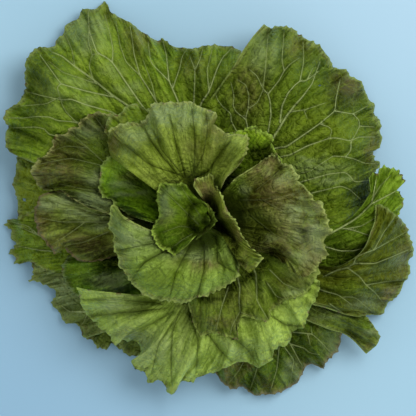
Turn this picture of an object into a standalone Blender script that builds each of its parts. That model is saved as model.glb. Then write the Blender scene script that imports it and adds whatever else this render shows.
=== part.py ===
"""Loose lettuce head standing on its cut stem: one short stem and twenty-five leaves, each a separate piece.

Metres, +Z up. The origin is the middle of the stem's cut end, and the head's back is +Y.
Leaf outlines are laid out on a square plan of 416 units as seen from straight above: x to the right, y towards the front,
the plan's middle at (208, 208). Heights in the tables are millimetres above the surface that the head rests on.
"""

import math

import bmesh
import bpy
import numpy as np

# ---- driving dimensions
PLAN_UNIT = 0.00078  # metres for one plan unit, on the resting surface
EYE_HEIGHT = 1.5  # metres: plan outlines are as they look from this height
PLAN_MIDDLE = 208.0
STEM_PLAN = (204.0, 220.0)  # the stem's axis on the plan
STEM_RADIUS = 0.0160  # at the cut end
STEM_TOP_RADIUS = 0.0042
STEM_HEIGHT = 0.052
STEM_SIDES = 28
STEM_RINGS = 7
STEM_CLEARANCE = 0.0005  # between the stem and each leaf's base
FIRST_BASE, LAST_BASE = 4.5, 47.0  # mm: how high on the stem the lowest and the innermost leaf start
BLADE = 1.0  # mm, blade thickness of a leaf
PETIOLE = 2.6  # mm, more at the middle of a leaf's base
PETIOLE_REACH = 0.5  # of the leaf's length
LEAF_GAP = 0.7  # mm, least height between two leaves
LOOSE = 1.2  # mm, usual height between two leaves

# Each leaf, from the lowest to the innermost: name; whether its margin touches the surface; base half angle in degrees; columns by rows; heights at 15, 35, 60, 85
# and 100 percent of its length; left side, outer margin (clockwise) and right side on the plan; folds (count, mm, turn);
# margin heights to add, as (place along the margin, mm); colour, roughness.
LEAVES = [
    dict(name="under_leaf_front_left", touches=True, half=34, grid=(8, 6), z=(8, 13, 15, 11, 6),
         left=[(195, 250), (165, 305)], right=[(180, 240), (120, 290)],
         rim=[(120, 350), (111, 342), (108, 349), (105, 350), (101, 347.6), (97, 348), (95, 344.5), (92, 340), (84.5, 338), (82, 335), (78, 322)],
         folds=(2, 1.5, 0.2), lift=[], colour=(0.045, 0.085, 0.012), rough=0.5),
    dict(name="under_leaf_front", half=34, grid=(8, 6), z=(8, 13, 15, 11, 5),
         left=[(203, 260), (190, 315)], right=[(190, 250), (150, 300)],
         rim=[(166, 352), (150, 357), (135, 356), (126, 355), (117, 343.5), (108, 332)],
         folds=(2, 1.5, 0.6), lift=[], colour=(0.045, 0.085, 0.012), rough=0.5),
    dict(name="outer_leaf_front_left", touches=True, half=48, grid=(14, 7), z=(12, 22, 28, 22, 12),
         left=[(190, 245), (150, 300), (112, 330)], right=[(180, 228), (100, 240)],
         rim=[(86, 338), (82, 337), (84, 332), (82, 328), (77, 324), (66, 324), (62, 320.5), (60, 313), (55, 308), (51, 304), (52, 301), (56, 296), (54.5, 289), (50, 287), (43, 284), (35, 281), (28, 281), (31, 279), (33, 274), (32.6, 268), (31, 261.6), (36, 250)],
         folds=(4, 3.0, 0.1), lift=[(0, -6), (0.3, -11), (0.6, -6), (1, 2)], colour=(0.085, 0.125, 0.040), rough=0.45),
    dict(name="outer_leaf_left", half=46, grid=(11, 7), z=(13, 24, 32, 28, 18),
         left=[(180, 224), (100, 242)], right=[(180, 205), (100, 165)],
         rim=[(42, 242), (24, 233), (17.5, 218), (17.5, 206), (17, 197), (14, 190), (11, 184), (13, 182), (14.5, 178), (15.6, 169), (17, 156), (28, 148), (50, 140)],
         folds=(3, 3.0, 0.4), lift=[(0, 0), (0.5, -4), (1, 0)], colour=(0.075, 0.125, 0.018), rough=0.45),
    dict(name="outer_leaf_left_front", touches=True, half=46, grid=(14, 7), z=(14, 26, 33, 25, 10),
         left=[(185, 234), (110, 270)], right=[(180, 216), (110, 205)],
         rim=[(60, 274), (42, 270), (31, 261.6), (23, 262), (17, 265), (14.7, 263), (15, 258), (7.5, 253), (15, 248), (16, 243), (13.4, 239), (12.5, 233), (10, 228), (5, 225), (7, 220), (10.7, 218), (17, 219), (32, 210), (55, 205)],
         folds=(3, 3.0, 0.7), lift=[(0, 4), (0.5, -9), (1, 4)], colour=(0.085, 0.130, 0.025), rough=0.45),
    dict(name="outer_leaf_back_left", touches=True, half=56, grid=(26, 8), z=(17, 32, 42, 36, 18),
         left=[(150, 206), (90, 190), (40, 166)], right=[(214, 160), (234, 100)],
         rim=[(17.4, 156), (9, 152), (5.4, 146), (4.5, 136), (9, 126), (2.7, 120), (3.6, 115), (9, 108), (17, 103.6), (22, 97), (26, 87.5), (24, 76), (26, 70), (24, 64), (27, 58), (32, 51), (38, 47), (54.5, 47), (55.4, 39), (63.8, 34), (63.8, 28), (66, 23.7), (72, 21), (77.7, 18.3), (82, 9), (87, 8), (94.6, 9.8), (99, 5.4), (106, 1), (110.7, 11.6), (119, 16.5), (128.6, 21), (139, 29), (150, 37), (159, 41), (162, 38), (168, 43), (177, 47), (186, 48), (196, 48.5), (204, 45), (216.5, 45), (231, 46), (241.5, 51)],
         folds=(6, 4.0, 0.15), lift=[(0, 10), (0.15, 4), (0.3, 14), (0.42, -8), (0.6, -14), (0.8, -4), (1, 6)], colour=(0.105, 0.165, 0.022), rough=0.42),
    dict(name="outer_leaf_back_right", touches=True, half=56, grid=(26, 8), z=(18, 34, 46, 40, 16),
         left=[(199, 160), (197, 125), (205, 105), (212, 97), (226, 76.5), (233, 67), (241, 53), (253, 36)], right=[(258, 236), (318, 240)],
         rim=[(264, 24), (271, 29), (276, 25.6), (287.5, 26.5), (295.5, 29.6), (299, 35), (309, 39.5), (315, 43), (320.5, 46), (329.5, 57), (333.6, 68), (346.5, 69), (351, 77), (362, 80.5), (365, 90), (370, 100.6), (376, 106), (373, 113.6), (379, 119), (382.7, 126), (379, 129), (382.7, 138), (380, 149), (373, 150), (374.6, 161), (381, 161), (380, 166), (374.6, 172), (374, 186), (370, 205), (356, 226)],
         folds=(6, 4.0, 0.55), lift=[(0, 16), (0.12, 6), (0.35, -8), (0.55, -14), (0.75, -2), (1, 6)], colour=(0.095, 0.155, 0.018), rough=0.42),
    dict(name="outer_leaf_front_right", touches=True, half=48, grid=(17, 7), z=(20, 32, 38, 30, 12),
         left=[(235, 248), (280, 285), (318, 315)], right=[(205, 262), (202, 320)],
         rim=[(343, 332), (340.5, 338), (342, 341), (338, 351), (329, 359), (323, 367), (325, 370), (311, 364), (306, 367), (300, 378), (298, 384), (290, 387), (284, 391), (270.6, 395), (263.5, 394), (256, 397), (248, 391), (241, 386), (234, 390), (224, 385), (216.5, 375), (210, 364)],
         folds=(5, 3.0, 0.3), lift=[(0, 4), (0.5, -7), (1, 4)], colour=(0.070, 0.110, 0.016), rough=0.45),
    dict(name="outer_leaf_front_right_curled", half=34, grid=(10, 6), z=(22, 35, 40, 34, 26),
         left=[(245, 250), (300, 286), (338, 304)], right=[(236, 262), (276, 300), (305, 320), (330, 330), (346, 334), (356, 343)],
         rim=[(362, 312), (372, 322), (377, 330), (381, 337), (377, 346), (366, 354)],
         folds=(2, 2.0, 0.1), lift=[(0, 0), (0.5, 4), (1, -6)], colour=(0.060, 0.090, 0.020), rough=0.45),
    dict(name="outer_leaf_right", half=44, grid=(14, 7), z=(26, 40, 50, 48, 38),
         left=[(262, 214), (305, 222), (332, 226), (350, 219), (362, 206), (371, 192)], right=[(256, 250), (304, 284), (344, 290), (372, 274)],
         rim=[(369, 178), (373, 171), (375, 173), (379, 173), (381, 167), (383.6, 165), (387, 166), (388.5, 169), (391, 168), (399, 170.5), (400.5, 174), (404, 179), (404, 184), (400.5, 186), (396, 184), (394, 188), (400, 192), (404, 199), (404, 205), (399, 214), (394, 230), (386, 254)],
         folds=(3, 3.0, 0.2), lift=[(0, 0), (0.5, 4), (1, -12)], colour=(0.080, 0.165, 0.012), rough=0.40),
    dict(name="outer_leaf_right_front", half=46, grid=(19, 7), z=(28, 44, 56, 46, 16),
         left=[(250, 240), (300, 262), (337, 268), (346, 262.5), (358, 256), (367.5, 243), (370, 232), (375, 221)], right=[(245, 262), (290, 300), (326, 308), (345, 315)],
         rim=[(375, 205), (381, 204), (387, 207), (393, 212), (400.5, 218), (407, 226), (408.6, 235), (414.6, 249), (413, 257), (408, 261), (411, 270), (408, 279), (404.6, 281), (401, 292.5), (395, 299), (390, 300.5), (385, 309.5), (381, 316), (369, 315), (358, 317)],
         folds=(4, 3.0, 0.6), lift=[(0, 24), (0.2, 8), (0.5, -10), (0.8, -8), (1, 4)], colour=(0.085, 0.125, 0.012), rough=0.42),
    dict(name="mid_leaf_front_left", half=40, grid=(10, 7), z=(28, 40, 46, 42, 36),
         left=[(190, 238), (160, 285), (135, 305)], right=[(180, 234), (130, 240)],
         rim=[(112, 310), (92, 303), (75, 295), (66, 285), (62, 276), (62, 266), (66, 258), (78, 250), (90, 244)],
         folds=(3, 4.0, 0.3), lift=[(0, -4), (0.5, -6), (1, 2)], colour=(0.075, 0.140, 0.015), rough=0.36),
    dict(name="mid_leaf_front", half=58, grid=(26, 8), z=(30, 46, 56, 53, 38),
         left=[(240, 242), (285, 262)], right=[(192, 255), (165, 283), (140, 295), (118, 293), (90, 290)],
         rim=[(320, 281), (320, 289), (316, 299), (310, 309), (307, 319), (305, 328), (298, 329), (292, 333), (291, 341), (285, 348), (279, 346), (273, 351), (274, 360), (270, 362), (258, 369), (248, 362), (238, 363), (216.5, 372), (203, 375), (197, 377), (193, 383), (182, 381), (177, 386), (175, 394.5), (167, 393.5), (164, 382), (157, 380), (148, 384), (146, 373), (133.5, 368), (131, 361), (140, 357), (140, 345.5), (134.5, 341), (121, 340), (114.6, 346.5), (109, 334), (99, 328), (89, 318), (81, 306), (80, 295.5), (76, 287)],
         folds=(7, 4.0, 0.5), lift=[(0, 18), (0.25, 6), (0.5, -8), (0.75, -6), (1, 14)], colour=(0.135, 0.200, 0.045), rough=0.38),
    dict(name="mid_leaf_left", half=46, grid=(15, 7), z=(32, 48, 58, 57, 50),
         left=[(184, 232), (150, 250)], right=[(186, 216), (130, 196)],
         rim=[(116, 256), (103, 260), (89, 262.5), (78, 261), (70, 254), (62.5, 246), (55, 254.5), (48, 246), (43, 238), (38, 235), (37, 226), (34, 217), (34, 210), (38, 203), (38, 196), (50, 191), (74, 190)],
         folds=(4, 3.0, 0.2), lift=[(0, 0), (0.5, -4), (1, 4)], colour=(0.110, 0.140, 0.032), rough=0.42),
    dict(name="mid_leaf_left_back", half=48, grid=(19, 7), z=(34, 54, 66, 64, 50),
         left=[(182, 226), (145, 222), (112, 215)], right=[(192, 198), (165, 160)],
         rim=[(88, 208), (75, 201), (60, 190), (50, 191), (43, 190), (38, 186), (34, 180.5), (31, 174), (31, 168), (34, 164), (38, 158), (46, 155), (49, 149), (53, 146), (51, 140), (57, 134), (66, 133), (71, 126), (78, 128), (80, 120), (89, 114), (98, 112), (112, 114), (118, 116), (132, 122), (145, 135)],
         folds=(5, 4.0, 0.4), lift=[(0, 4), (0.5, -4), (1, 6)], colour=(0.085, 0.100, 0.028), rough=0.42),
    dict(name="mid_leaf_back", half=42, grid=(10, 7), z=(40, 60, 70, 74, 68),
         left=[(188, 202), (150, 170), (118, 146)], right=[(203, 195), (200, 150)],
         rim=[(104, 132), (106, 121), (111, 113), (118, 115), (126, 106), (134, 102.5), (141, 107), (149, 109), (165, 108), (188, 110)],
         folds=(3, 2.0, 0.3), lift=[], colour=(0.090, 0.130, 0.024), rough=0.42),
    dict(name="mid_leaf_front_right", half=48, grid=(17, 7), z=(40, 60, 69, 66, 54),
         left=[(240, 230), (285, 240)], right=[(200, 250), (192, 285)],
         rim=[(318, 254), (318.6, 265), (320, 272.5), (315, 279), (309, 290), (303, 296), (285, 300), (270, 313), (269, 322), (255, 319), (241, 316), (238, 330), (239, 341), (227.5, 336), (211, 333), (200, 338), (193, 322), (188, 304)],
         folds=(5, 3.0, 0.5), lift=[(0, 8), (0.5, -2), (1, 4)], colour=(0.080, 0.110, 0.018), rough=0.42),
    dict(name="inner_leaf_back_right", half=42, grid=(10, 7), z=(40, 58, 66, 76, 80),
         left=[(210, 195), (216, 155)], right=[(225, 208), (262, 195)],
         rim=[(226, 134), (235, 131), (244.5, 129), (250, 126), (256, 125), (258, 130.5), (268, 132), (274, 137), (274, 142), (271, 143), (277.5, 152), (284, 164), (286, 182)],
         folds=(2, 2.0, 0.3), lift=[], colour=(0.065, 0.120, 0.015), rough=0.42),
    dict(name="inner_leaf_right", half=60, grid=(21, 8), z=(44, 70, 86, 84, 70),
         left=[(216, 200), (235, 178)], right=[(222, 232), (245, 248)],
         rim=[(256, 165), (265, 158), (274, 154), (279, 158), (283, 164), (290, 164), (295, 169), (301, 179), (297, 181), (305, 185), (309, 190), (313, 196), (315, 202), (322, 203), (324, 207), (327, 217), (330, 227), (334, 232), (325, 238), (324, 246), (329, 254), (320, 264), (312, 275), (303, 278), (294, 274), (286, 265), (276, 256)],
         folds=(4, 3.0, 0.1), lift=[(0, 6), (0.4, 2), (0.6, -2), (0.8, -8), (1, -14)], colour=(0.075, 0.080, 0.020), rough=0.40),
    dict(name="inner_leaf_left_back", half=44, grid=(11, 7), z=(50, 70, 80, 80, 70),
         left=[(188, 225), (165, 226), (150, 222)], right=[(192, 202), (158, 165)],
         rim=[(136, 218), (123, 212), (114, 205), (110, 198.5), (103, 198), (98, 189), (99, 177), (100, 166), (108, 157), (118, 147), (132, 140)],
         folds=(3, 2.5, 0.6), lift=[], colour=(0.055, 0.090, 0.010), rough=0.42),
    dict(name="inner_leaf_back", half=64, grid=(24, 8), z=(52, 86, 102, 98, 82),
         left=[(185, 206), (155, 190), (128, 170)], right=[(216, 200), (226, 178)],
         rim=[(110.5, 156), (107, 144), (109, 128), (123, 123), (133, 122), (140, 124), (147, 116), (151.6, 103), (161, 102.5), (170, 101.6), (177.5, 102.5), (184.6, 100.7), (192, 100.7), (197, 105), (205, 108), (216, 112), (218.6, 117), (213, 121), (214, 125), (219.5, 127), (224, 131), (229, 135), (236, 133), (243, 134), (248, 135), (249, 141), (247, 151), (243, 161), (236, 169)],
         folds=(5, 3.0, 0.4), lift=[(0, -6), (0.4, 0), (0.8, 2), (1, 0)], colour=(0.120, 0.170, 0.040), rough=0.38),
    dict(name="inner_leaf_front", half=62, grid=(22, 8), z=(48, 78, 93, 90, 78),
         left=[(216, 234), (230, 240)], right=[(188, 222), (165, 230), (150, 230), (135, 223), (122, 215)],
         rim=[(240, 254), (240, 270), (237, 280), (229, 285), (215, 292), (205, 296), (190, 301), (183, 304), (175, 302), (168, 301), (150, 299), (140, 292), (133, 286), (130, 281), (124, 272), (117, 266), (119, 257), (114, 252), (113, 245), (114, 236), (108, 228), (110, 217), (109, 208), (112, 204), (117, 206)],
         folds=(5, 3.0, 0.7), lift=[(0, 0), (0.5, -2), (1, 6)], colour=(0.150, 0.215, 0.055), rough=0.38),
    dict(name="heart_leaf_right", half=60, grid=(17, 7), z=(52, 74, 96, 103, 100),
         left=[(207, 206), (200, 196)], right=[(220, 232), (232, 252), (241, 266)],
         rim=[(193, 186), (195, 178), (205, 177), (210, 173), (214, 175), (213, 182), (217, 187), (222, 195), (225, 203), (229, 213), (237, 222), (241, 232), (246, 241), (252, 248), (259, 253), (264, 258), (260, 264), (254, 270), (249, 273)],
         folds=(2, 1.5, 0.3), lift=[(0, -2), (0.5, 0), (0.75, -2), (1, -16)], colour=(0.100, 0.120, 0.024), rough=0.40),
    dict(name="heart_leaf_centre", half=80, grid=(12, 6), z=(50, 64, 76, 86, 90),
         left=[(208, 212)], right=[(200, 230)],
         rim=[(207, 203), (210, 206), (213, 211), (217, 219), (216, 224), (210, 230), (203, 235), (196, 240)],
         folds=(2, 1.0, 0.3), lift=[(0, 4), (1, -2)], colour=(0.090, 0.160, 0.012), rough=0.40),
    dict(name="heart_leaf_left", turn=88, half=-76, grid=(19, 7), z=(64, 84, 97, 98, 90),
         left=[(199, 233), (193, 239)], right=[(208, 211), (208, 206)],
         rim=[(189, 244), (180, 252), (175, 256), (170, 254), (168, 250), (161, 250), (157, 246), (154, 238), (151, 232), (152, 228), (157, 220), (159, 212), (157, 205), (157, 196), (158, 185), (161, 182), (167, 183), (176, 183), (185, 183), (195, 195), (206, 203)],
         folds=(3, 2.0, 0.2), lift=[(0, -4), (0.5, -2), (1, 2)], colour=(0.095, 0.170, 0.018), rough=0.38),
]


def curve(points, count, soft=0.0):
    """A smooth open line through about the given points, with its ends kept, as count+1 points evenly spaced. soft is in spacings."""
    p = np.array(points, float)
    run = np.concatenate([[0], np.cumsum(np.hypot(*np.diff(p, axis=0).T))])
    fine = np.linspace(0, run[-1], 801)
    q = np.stack([np.interp(fine, run, p[:, i]) for i in (0, 1)], 1)
    q = soften(q, max(1.3, soft * run[-1] / count) * 800 / max(run[-1], 1.0))
    run = np.concatenate([[0], np.cumsum(np.hypot(*np.diff(q, axis=0).T))])
    even = np.linspace(0, run[-1], count + 1)
    return np.stack([np.interp(even, run, q[:, i]) for i in (0, 1)], 1)


def soften(q, sigma):
    """The line q blurred along its length by sigma steps, with its ends kept."""
    reach = max(1, int(3 * sigma))
    w = np.exp(-0.5 * (np.arange(-reach, reach + 1) / sigma) ** 2)
    w /= w.sum()
    n = len(q)
    i = np.arange(-reach, n + reach)
    ends = 2 * q[[0]] - q[np.clip(-i[i < 0], 0, n - 1)], 2 * q[[-1]] - q[np.clip(2 * (n - 1) - i[i > n - 1], 0, n - 1)]
    wide = np.concatenate([ends[0], q, ends[1]])
    return np.stack([np.convolve(wide[:, k], w, "valid") for k in range(q.shape[1])], 1)


def smooth(x):
    x = np.clip(x, 0, 1)
    return x * x * (3 - 2 * x)


def through(knots, values, x):
    """A smooth line through the values at the knots (Catmull-Rom)."""
    k, v, x = np.array(knots, float), np.array(values, float), np.clip(x, knots[0], knots[-1])
    slope = np.gradient(v, k)
    i = np.clip(np.searchsorted(k, x, side="right") - 1, 0, len(k) - 2)
    h = k[i + 1] - k[i]
    a = (x - k[i]) / h
    return (v[i] * (1 + 2 * a) * (1 - a) ** 2 + slope[i] * h * a * (1 - a) ** 2
            + v[i + 1] * a * a * (3 - 2 * a) - slope[i + 1] * h * a * a * (1 - a))


def stem_radius(z):
    """Radius on the plan, in plan units, at z mm."""
    f = np.clip(np.asarray(z, float) / (STEM_HEIGHT * 1000), 0, 1)
    return (STEM_RADIUS + (STEM_TOP_RADIUS - STEM_RADIUS) * f) / PLAN_UNIT


def stem_height(r):
    f = (STEM_RADIUS - np.asarray(r, float) * PLAN_UNIT) / (STEM_RADIUS - STEM_TOP_RADIUS)
    return np.clip(f, 0, 1.0) * STEM_HEIGHT * 1000


ROWS = 26  # rows while a leaf's lines are being spread out


def spread(p):
    """Spreads the inner points of a grid evenly between its four sides, so that its lines don't cross."""
    for turn in range(420):
        ds, dt = (p[2:, 1:-1] - p[:-2, 1:-1]) / 2, (p[1:-1, 2:] - p[1:-1, :-2]) / 2
        if turn < 120:
            a = c = np.ones(ds.shape[:2] + (1,))
            b = 0 * a
        else:
            a, c, b = ((x * y).sum(-1, keepdims=True) for x, y in ((dt, dt), (ds, ds), (ds, dt)))
        cross = p[2:, 2:] - p[:-2, 2:] - p[2:, :-2] + p[:-2, :-2]
        new = (a * (p[2:, 1:-1] + p[:-2, 1:-1]) + c * (p[1:-1, 2:] + p[1:-1, :-2]) - b / 2 * cross) / (2 * (a + c) + 1e-9)
        p[1:-1, 1:-1] += 0.8 * (new - p[1:-1, 1:-1])
    return p


def lay_out(leaf, base):
    """Plan places (columns+1 by rows+1 by 2) of a leaf that starts base mm up the stem."""
    n, m = leaf["grid"]
    s, t = np.linspace(0, 1, n + 1)[:, None, None], np.linspace(0, 1, ROWS + 1)[None, :, None]
    rim = curve(leaf["rim"], n, 0.2)
    middle = rim.mean(0) - STEM_PLAN
    turn = leaf.get("turn", math.degrees(math.atan2(middle[0], -middle[1])))
    a = np.radians(turn + leaf["half"] * np.linspace(-1, 1, n + 1))
    r = stem_radius(base) + STEM_CLEARANCE / PLAN_UNIT
    start = np.stack([STEM_PLAN[0] + r * np.sin(a), STEM_PLAN[1] - r * np.cos(a)], 1)
    left = curve([start[0]] + leaf["left"] + [leaf["rim"][0]], ROWS)
    right = curve([start[-1]] + leaf["right"] + [leaf["rim"][-1]], ROWS)
    p = ((1 - s) * left[None] + s * right[None] + (1 - t) * start[:, None] + t * rim[:, None]
         - ((1 - s) * (1 - t) * start[0] + s * (1 - t) * start[-1] + (1 - s) * t * rim[0] + s * t * rim[-1]))
    p = spread(p)
    out = np.empty((n + 1, m + 1, 2))
    for k in range(n + 1):
        run = np.concatenate([[0], np.cumsum(np.hypot(*np.diff(p[k], axis=0).T))])
        for d in (0, 1):
            out[k, :, d] = np.interp(np.linspace(0, run[-1], m + 1), run, p[k, :, d])
    return out


def design(leaf, base, s, t):
    """Height in mm of a leaf's upper face before it rests on the leaves below."""
    z = through([0, 0.15, 0.35, 0.6, 0.85, 1], (base + BLADE,) + leaf["z"], t)
    count, size, shift = leaf["folds"]
    z = z + size * np.sin(2 * math.pi * (count * s + shift + 0.13 * np.sin(5 * s))) * smooth((t - 0.25) / 0.6)
    z = z + 0.7 * size * np.sin(2 * math.pi * (2.7 * count * s + 2 * shift)) * smooth((t - 0.7) / 0.3)
    if leaf["lift"]:
        k, v = zip(*leaf["lift"])
        z = z + np.interp(s, k, v) * smooth((t - 0.45) / 0.55)
    return z


def depth(s, t):
    """Thickness in mm: the blade, and more under the midrib near the base."""
    width = 0.16 + 0.10 * (1 - t)
    return BLADE + PETIOLE * np.exp(-(((s - 0.5) / width) ** 2)) * np.clip(1 - t / PETIOLE_REACH, 0, 1)


SIZE, EDGE = 460, 20  # the pile's height map: cells of one plan unit


def most(h, reach):
    """Each cell's highest neighbour within reach."""
    for axis in (0, 1):
        out = h.copy()
        for k in range(1, reach + 1):
            lo, hi = [slice(None)] * 2, [slice(None)] * 2
            lo[axis], hi[axis] = slice(0, -k), slice(k, None)
            out[tuple(lo)] = np.maximum(out[tuple(lo)], h[tuple(hi)])
            out[tuple(hi)] = np.maximum(out[tuple(hi)], h[tuple(lo)])
        h = out
    return h


def blur(h, sigma):
    reach = int(3 * sigma)
    w = np.exp(-0.5 * (np.arange(-reach, reach + 1) / sigma) ** 2)
    w /= w.sum()
    for axis in (0, 1):
        h = np.apply_along_axis(lambda row: np.convolve(np.pad(row, reach, mode="edge"), w, "valid"), axis, h)
    return h


def cells(p):
    i = np.clip(np.round(p[..., 0]).astype(int) + EDGE, 0, SIZE - 1)
    j = np.clip(np.round(p[..., 1]).astype(int) + EDGE, 0, SIZE - 1)
    return j, i


def samples(p, z, parts=8):
    """Places inside each quad with the heights of both ways of splitting it in two triangles."""
    a, b, c, d = (0, 0), (1, 0), (1, 1), (0, 1)
    corner = lambda x, k: x[k[0]:x.shape[0] - 1 + k[0], k[1]:x.shape[1] - 1 + k[1]]
    f = (np.arange(parts + 1)) / parts
    u, v = np.meshgrid(f, f, indexing="ij")
    u, v = u.ravel(), v.ravel()

    def mix(x, which):
        xa, xb, xc, xd = (corner(x, k)[..., None] for k in (a, b, c, d))
        if which == 0:
            return np.where(u >= v, xa + u * (xb - xa) + v * (xc - xb), xa + v * (xd - xa) + u * (xc - xd))
        return np.where(u + v <= 1, xa + u * (xb - xa) + v * (xd - xa), xc + (1 - u) * (xd - xc) + (1 - v) * (xb - xc))

    places = [np.stack([mix(p[..., 0], w), mix(p[..., 1], w)], -1) for w in (0, 1)]
    return places, [mix(z, w) for w in (0, 1)]


def corners_up(shape, lift):
    """Spreads each quad's lift to its four corners."""
    up = np.zeros(shape)
    for i in (0, 1):
        for j in (0, 1):
            part = up[i:shape[0] - 1 + i, j:shape[1] - 1 + j]
            np.maximum(part, lift, out=part)
    return up


def rest(leaf, base, pile, parts):
    """Lays a leaf on the pile. Returns plan places, upper and lower heights."""
    n, m = leaf["grid"]
    s, t = np.meshgrid(np.linspace(0, 1, n + 1), np.linspace(0, 1, m + 1), indexing="ij")
    near = most(pile, 1)
    loose = blur(most(pile, 3), 3.0)
    start = base
    for _ in range(3):
        p = lay_out(leaf, start)
        z = design(leaf, base, s, t)
        if leaf.get("touches"):
            z = z - (z - depth(s, t))[:, m // 2:].min() * smooth((t - 0.45) / 0.55)
        need = loose[cells(p)]
        z = np.maximum(z, np.where(need > 0.5, need + depth(s, t) + LOOSE, 0))
        z[:, 0] = np.maximum(z[:, 0], start + BLADE)
        slope = np.hypot(*[np.gradient(z)[1] / np.maximum(np.hypot(*np.gradient(p, axis=1).transpose(2, 0, 1)) * PLAN_UNIT * 1000, 0.3)] * 2) / math.sqrt(2)
        thick = depth(s, t) * np.minimum(np.sqrt(1 + slope ** 2), 2.2)
        total = np.zeros_like(z)
        for _ in range(12):
            places, tops = samples(p, z + total, parts)
            _, thicks = samples(p, thick, parts)
            lack = np.full((n, m), -1e9)
            for place, top, th in zip(places, tops, thicks):
                j, i = cells(place)
                floor = np.maximum(np.where(near[j, i] > 0, near[j, i] + LEAF_GAP, 0.0), 0.0)
                r = np.hypot(place[..., 0] - STEM_PLAN[0], place[..., 1] - STEM_PLAN[1]) - STEM_CLEARANCE * 0.8 / PLAN_UNIT
                floor = np.maximum(floor, np.where(r < stem_radius(0), stem_height(r), 0))
                lack = np.maximum(lack, (floor - (top - th)).max(-1))
            if lack.max() < 1e-4:
                break
            up = corners_up(z.shape, np.maximum(lack, 0) * 1.02)
            total = total + up
            soft = total.copy()
            for _ in range(2):
                wide = np.pad(soft, 1, mode="edge")
                soft = np.maximum(total, (wide[:-2, 1:-1] + wide[2:, 1:-1] + wide[1:-1, :-2] + wide[1:-1, 2:] + 2 * soft) / 6)
            total = soft
        z = z + total
        again = max(base, float((z - thick)[:, 0].mean()))
        if abs(again - start) < 0.4:
            break
        start = min(again, STEM_HEIGHT * 1000 - 1)
    return p, z, z - thick


def settle(pile, p, z):
    for place, top in zip(*samples(p, z, 10)):
        j, i = cells(place)
        np.maximum.at(pile, (j, i), top)


def world(p, z):
    """Metres from plan places and mm."""
    z = np.asarray(z, float) / 1000
    near = PLAN_UNIT * (1 - z / EYE_HEIGHT)
    x = (p[..., 0] - PLAN_MIDDLE) * near - (STEM_PLAN[0] - PLAN_MIDDLE) * PLAN_UNIT
    y = -(p[..., 1] - PLAN_MIDDLE) * near + (STEM_PLAN[1] - PLAN_MIDDLE) * PLAN_UNIT
    return np.stack([x, y, z], -1)


def material(name, colour, rough):
    mat = bpy.data.materials.new(name)
    mat.use_nodes = True
    shader = mat.node_tree.nodes["Principled BSDF"]
    shader.inputs["Base Color"].default_value = (*colour, 1)
    shader.inputs["Roughness"].default_value = rough
    shader.inputs["Metallic"].default_value = 0.0
    return mat


def finish(bm, name, colour, rough):
    bmesh.ops.triangulate(bm, faces=bm.faces[:], quad_method="FIXED")
    bmesh.ops.recalc_face_normals(bm, faces=bm.faces[:])
    mesh = bpy.data.meshes.new(name)
    bm.to_mesh(mesh)
    bm.free()
    ob = bpy.data.objects.new(name, mesh)
    bpy.context.scene.collection.objects.link(ob)
    mesh.materials.append(material(name, colour, rough))
    return ob


def grow_leaf(leaf, p, top, under):
    """A grid laid on the leaf's upper face, pulled down to its lower face."""
    n, m = leaf["grid"]
    bm = bmesh.new()
    bmesh.ops.create_grid(bm, x_segments=n, y_segments=m, size=0.5)
    where = {v: (round((v.co.x + 0.5) * n), round((v.co.y + 0.5) * m)) for v in bm.verts}
    high, low = world(p, top), world(p, under)
    for v, k in where.items():
        v.co = high[k]
    made = bmesh.ops.extrude_face_region(bm, geom=bm.faces[:], use_keep_orig=True)["geom"]
    for v in made:
        if isinstance(v, bmesh.types.BMVert):
            v.co = low[min(where.values(), key=lambda k: (high[k][0] - v.co.x) ** 2 + (high[k][1] - v.co.y) ** 2 + (high[k][2] - v.co.z) ** 2)]
    return finish(bm, leaf["name"], leaf["colour"], leaf["rough"])


def grow_stem():
    """The stem: a tapered cone with a chamfered flat cut end, cut into rings."""
    bm = bmesh.new()
    bmesh.ops.create_cone(bm, cap_ends=True, segments=STEM_SIDES, radius1=1.0, radius2=1.0, depth=1.0)
    for f in [0.02] + list(np.linspace(0, 1, STEM_RINGS + 1)[1:-1]):
        bmesh.ops.bisect_plane(bm, geom=bm.verts[:] + bm.edges[:] + bm.faces[:], plane_co=(0, 0, f - 0.5), plane_no=(0, 0, 1))
    for v in bm.verts:
        f = min(max(v.co.z + 0.5, 0.0), 1.0)
        z = f * (STEM_HEIGHT * 1000 - 0.5)
        a = math.atan2(v.co.y, v.co.x)
        r = float(stem_radius(z)) - (0.7 if f < 0.01 or f > 0.99 else 0.0)
        v.co = world(np.array([STEM_PLAN[0] + r * math.cos(a), STEM_PLAN[1] - r * math.sin(a)]), z)
    return finish(bm, "stem", (0.42, 0.50, 0.26), 0.55)


def build():
    for ob in list(bpy.data.objects):
        bpy.data.objects.remove(ob, do_unlink=True)
    grow_stem()
    pile = np.zeros((SIZE, SIZE))
    for k, leaf in enumerate(LEAVES):
        base = FIRST_BASE + (LAST_BASE - FIRST_BASE) * k / (len(LEAVES) - 1)
        p, top, under = rest(leaf, base, pile, 6)
        under = np.maximum(under, 0.0)
        top = np.maximum(top, under + 0.8)
        settle(pile, p, top)
        grow_leaf(leaf, p, top, under)


build()
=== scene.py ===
import math

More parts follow.
